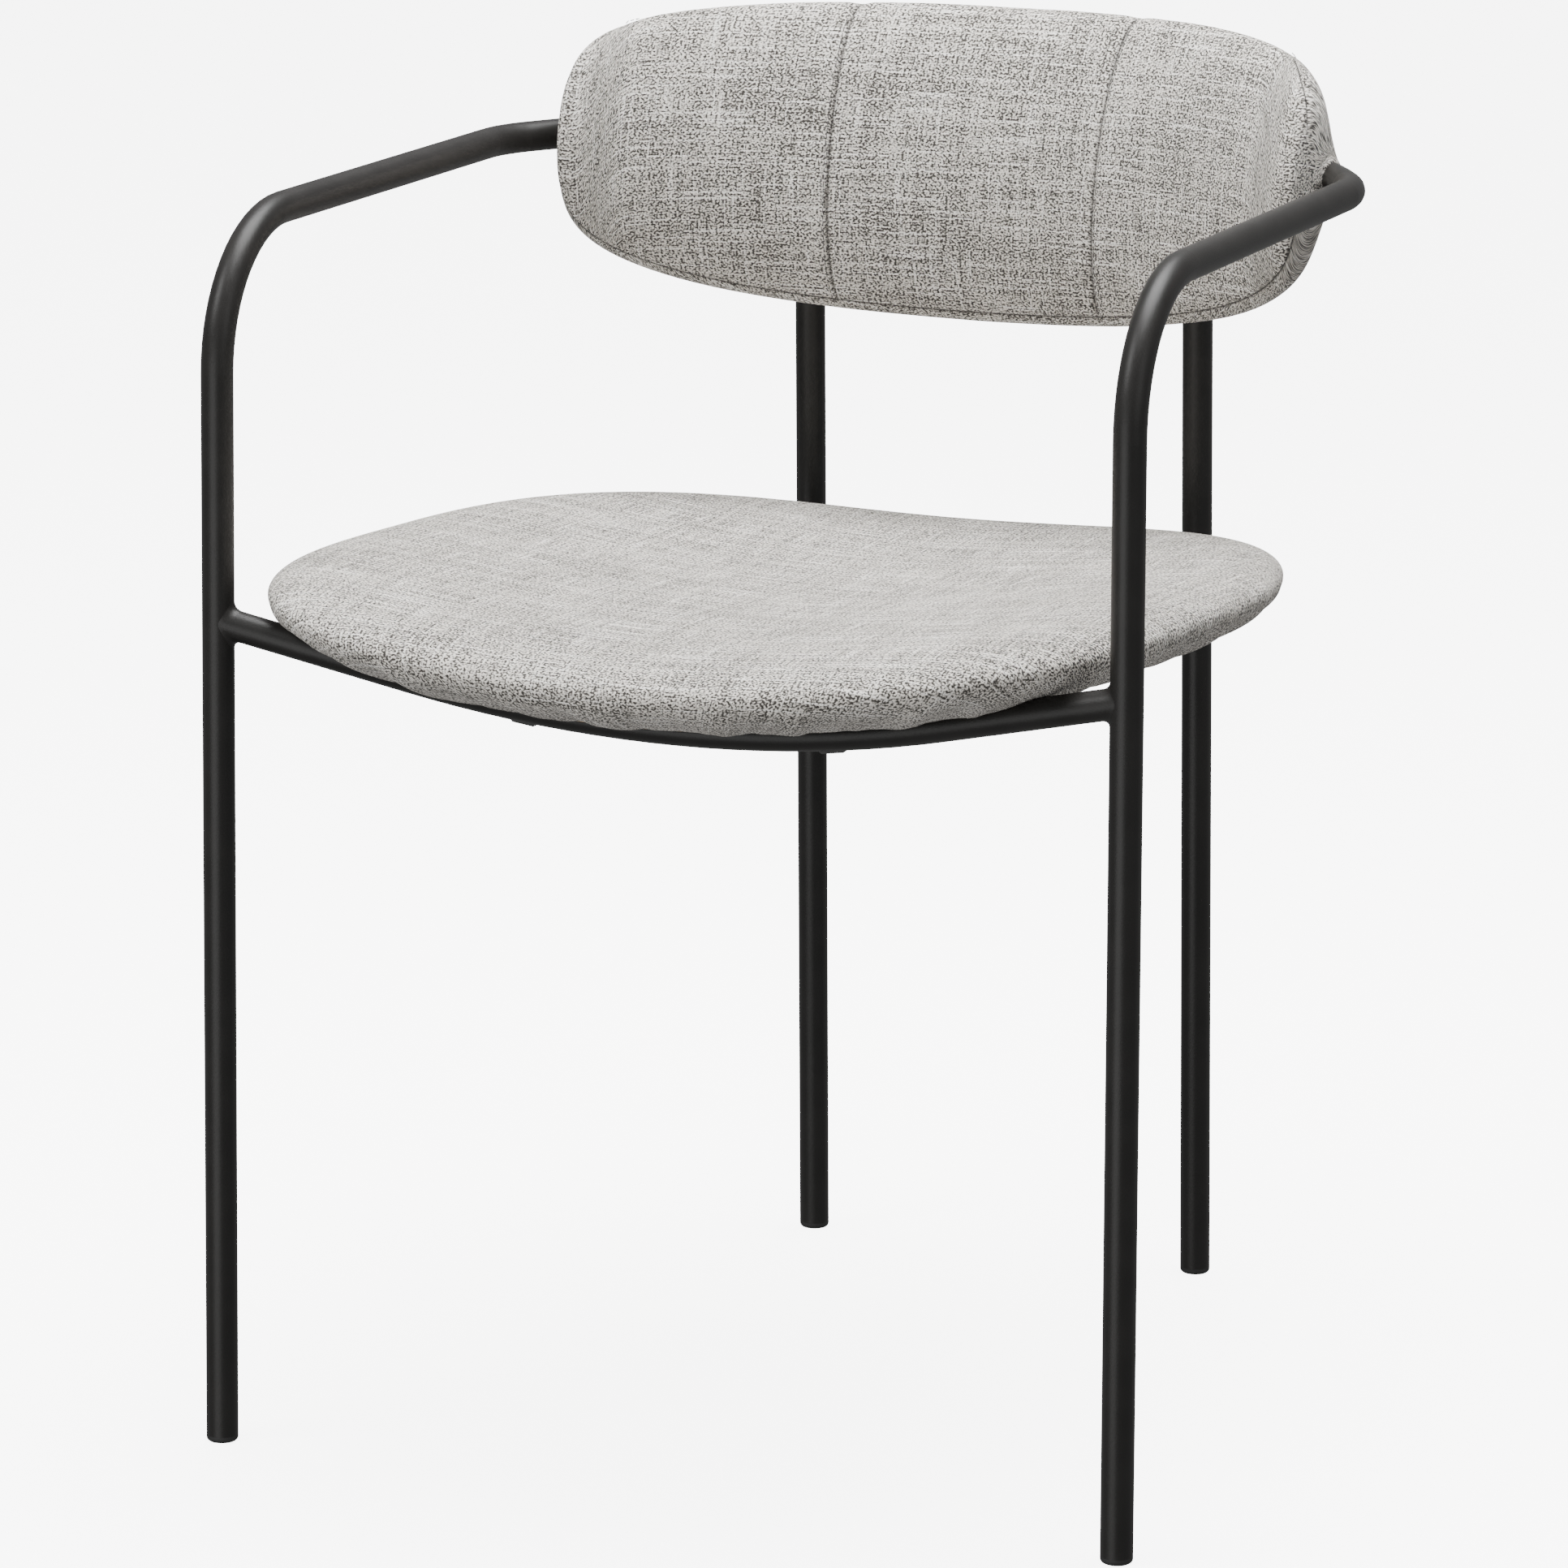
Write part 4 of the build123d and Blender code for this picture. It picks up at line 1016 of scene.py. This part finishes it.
class ARMCHAIR_OT_stitches(bpy.types.Operator):
    """Sew the back cushion's stitch lines"""

    bl_idname = "armchair.stitches"
    bl_label = "Stitches"

    def execute(self, context):
        finish = shared_finish("sewing_thread", thread_finish, settings().thread)
        make_stitches(settings().back, settings().thread, finish)
        return {"FINISHED"}


class ARMCHAIR_OT_welds(bpy.types.Operator):
    """Make the smooth welds between the front rail and the legs"""

    bl_idname = "armchair.welds"
    bl_label = "Rail welds"

    def execute(self, context):
        finish = shared_finish("powder_coat", paint_finish, settings().frame)
        make_rail_welds(settings().frame, finish)
        return {"FINISHED"}


FLOOR_EDGE = 15.0
SENSOR = 36.0
LIGHT_TARGET = (0, 0, 0.5)
LIGHTS = (                  # name, place, size in metres, power in watts
    ("key_light", (-2.0, -2.4, 3.2), 1.6, 85),
    ("fill_light", (3.0, -1.5, 1.8), 2.0, 15),
    ("low_light", (-0.4, -2.2, 0.1), 1.6, 22),
    ("top_light", (0.2, 0.3, 3.2), 2.2, 215),
)


def camera_axes(stage):
    """Right, up and back vectors of the camera, from its azimuth, elevation and roll."""
    a, e = stage.azimuth, stage.elevation
    back = Vector((math.sin(a) * math.cos(e), -math.cos(a) * math.cos(e), math.sin(e)))
    right = Vector((math.cos(a), math.sin(a), 0))
    up = back.cross(right)
    turned_right = right * math.cos(stage.roll) + up * math.sin(stage.roll)
    return turned_right, back.cross(turned_right), back


def add_light(name, place, target, size, power):
    """A square soft light that points at the target."""
    data = bpy.data.lights.new(name, "AREA")
    data.shape, data.size, data.energy = "SQUARE", size, power
    light = bpy.data.objects.new(name, data)
    light.location = place
    light.rotation_euler = (Vector(target) - Vector(place)).to_track_quat("-Z", "Y").to_euler()
    bpy.context.scene.collection.objects.link(light)


class ARMCHAIR_OT_stage(bpy.types.Operator):
    """Make the floor, the light and the camera"""

    bl_idname = "armchair.stage"
    bl_label = "Stage"

    def execute(self, context):
        stage = settings().stage
        mesh = bpy.data.meshes.new("studio_floor")
        corners = [(x * FLOOR_EDGE, y * FLOOR_EDGE, 0) for x, y in ((-1, -1), (1, -1), (1, 1), (-1, 1))]
        mesh.from_pydata(corners, [], [(0, 1, 2, 3)])
        mesh.materials.append(floor_finish(stage))
        floor = bpy.data.objects.new("studio_floor", mesh)
        floor.visible_diffuse = False
        floor.visible_glossy = False
        context.scene.collection.objects.link(floor)

        world = bpy.data.worlds.new("studio_world")
        world.use_nodes = True
        backdrop = world.node_tree.nodes["Background"]
        backdrop.inputs["Color"].default_value = (1, 1, 1, 1)
        backdrop.inputs["Strength"].default_value = stage.sky
        context.scene.world = world
        for name, place, size, power in LIGHTS:
            add_light(name, place, LIGHT_TARGET, size, power)

        data = bpy.data.cameras.new("camera")
        data.lens, data.sensor_width = stage.lens, SENSOR
        data.clip_start, data.clip_end = 0.1, 100.0
        right, up, back = camera_axes(stage)
        camera = bpy.data.objects.new("camera", data)
        camera.matrix_world = Matrix.Translation(Vector(stage.aim) + back * stage.distance) @ Matrix(
            (right, up, back)
        ).transposed().to_4x4()
        context.scene.collection.objects.link(camera)
        context.scene.camera = camera
        return {"FINISHED"}


class ArmchairSettings(bpy.types.PropertyGroup):
    """All the chair's settings."""

    seat: PointerProperty(type=SeatSettings)
    back: PointerProperty(type=BackSettings)
    thread: PointerProperty(type=ThreadSettings)
    cloth: PointerProperty(type=ClothSettings)
    frame: PointerProperty(type=FrameSettings)
    stage: PointerProperty(type=StageSettings)


OPERATORS = (
    ARMCHAIR_OT_frame_finishes,
    ARMCHAIR_OT_seat,
    ARMCHAIR_OT_back,
    ARMCHAIR_OT_stitches,
    ARMCHAIR_OT_welds,
    ARMCHAIR_OT_stage,
)


class ARMCHAIR_PT_panel(bpy.types.Panel):
    """Lists the chair's pieces"""

    bl_idname = "ARMCHAIR_PT_panel"
    bl_label = "Dining Armchair"
    bl_space_type = "VIEW_3D"
    bl_region_type = "UI"
    bl_category = "Armchair"

    def draw(self, context):
        for operator in OPERATORS:
            self.layout.operator(operator.bl_idname)
        for group in ("seat", "back", "thread", "cloth", "frame", "stage"):
            box = self.layout.box()
            box.label(text=group.capitalize())
            values = getattr(context.scene.armchair, group)
            for name in values.__annotations__:
                box.prop(values, name)


CLASSES = (
    SeatSettings, BackSettings, ThreadSettings, ClothSettings, FrameSettings, StageSettings,
    ArmchairSettings, *OPERATORS, ARMCHAIR_PT_panel,
)


def register():
    for item in CLASSES:
        bpy.utils.register_class(item)
    bpy.types.Scene.armchair = PointerProperty(type=ArmchairSettings)


def unregister():
    del bpy.types.Scene.armchair
    for item in reversed(CLASSES):
        bpy.utils.unregister_class(item)


def main():
    register()
    for operator in OPERATORS:
        group, name = operator.bl_idname.split(".")
        getattr(getattr(bpy.ops, group), name)()


if __name__ == "__main__":
    main()
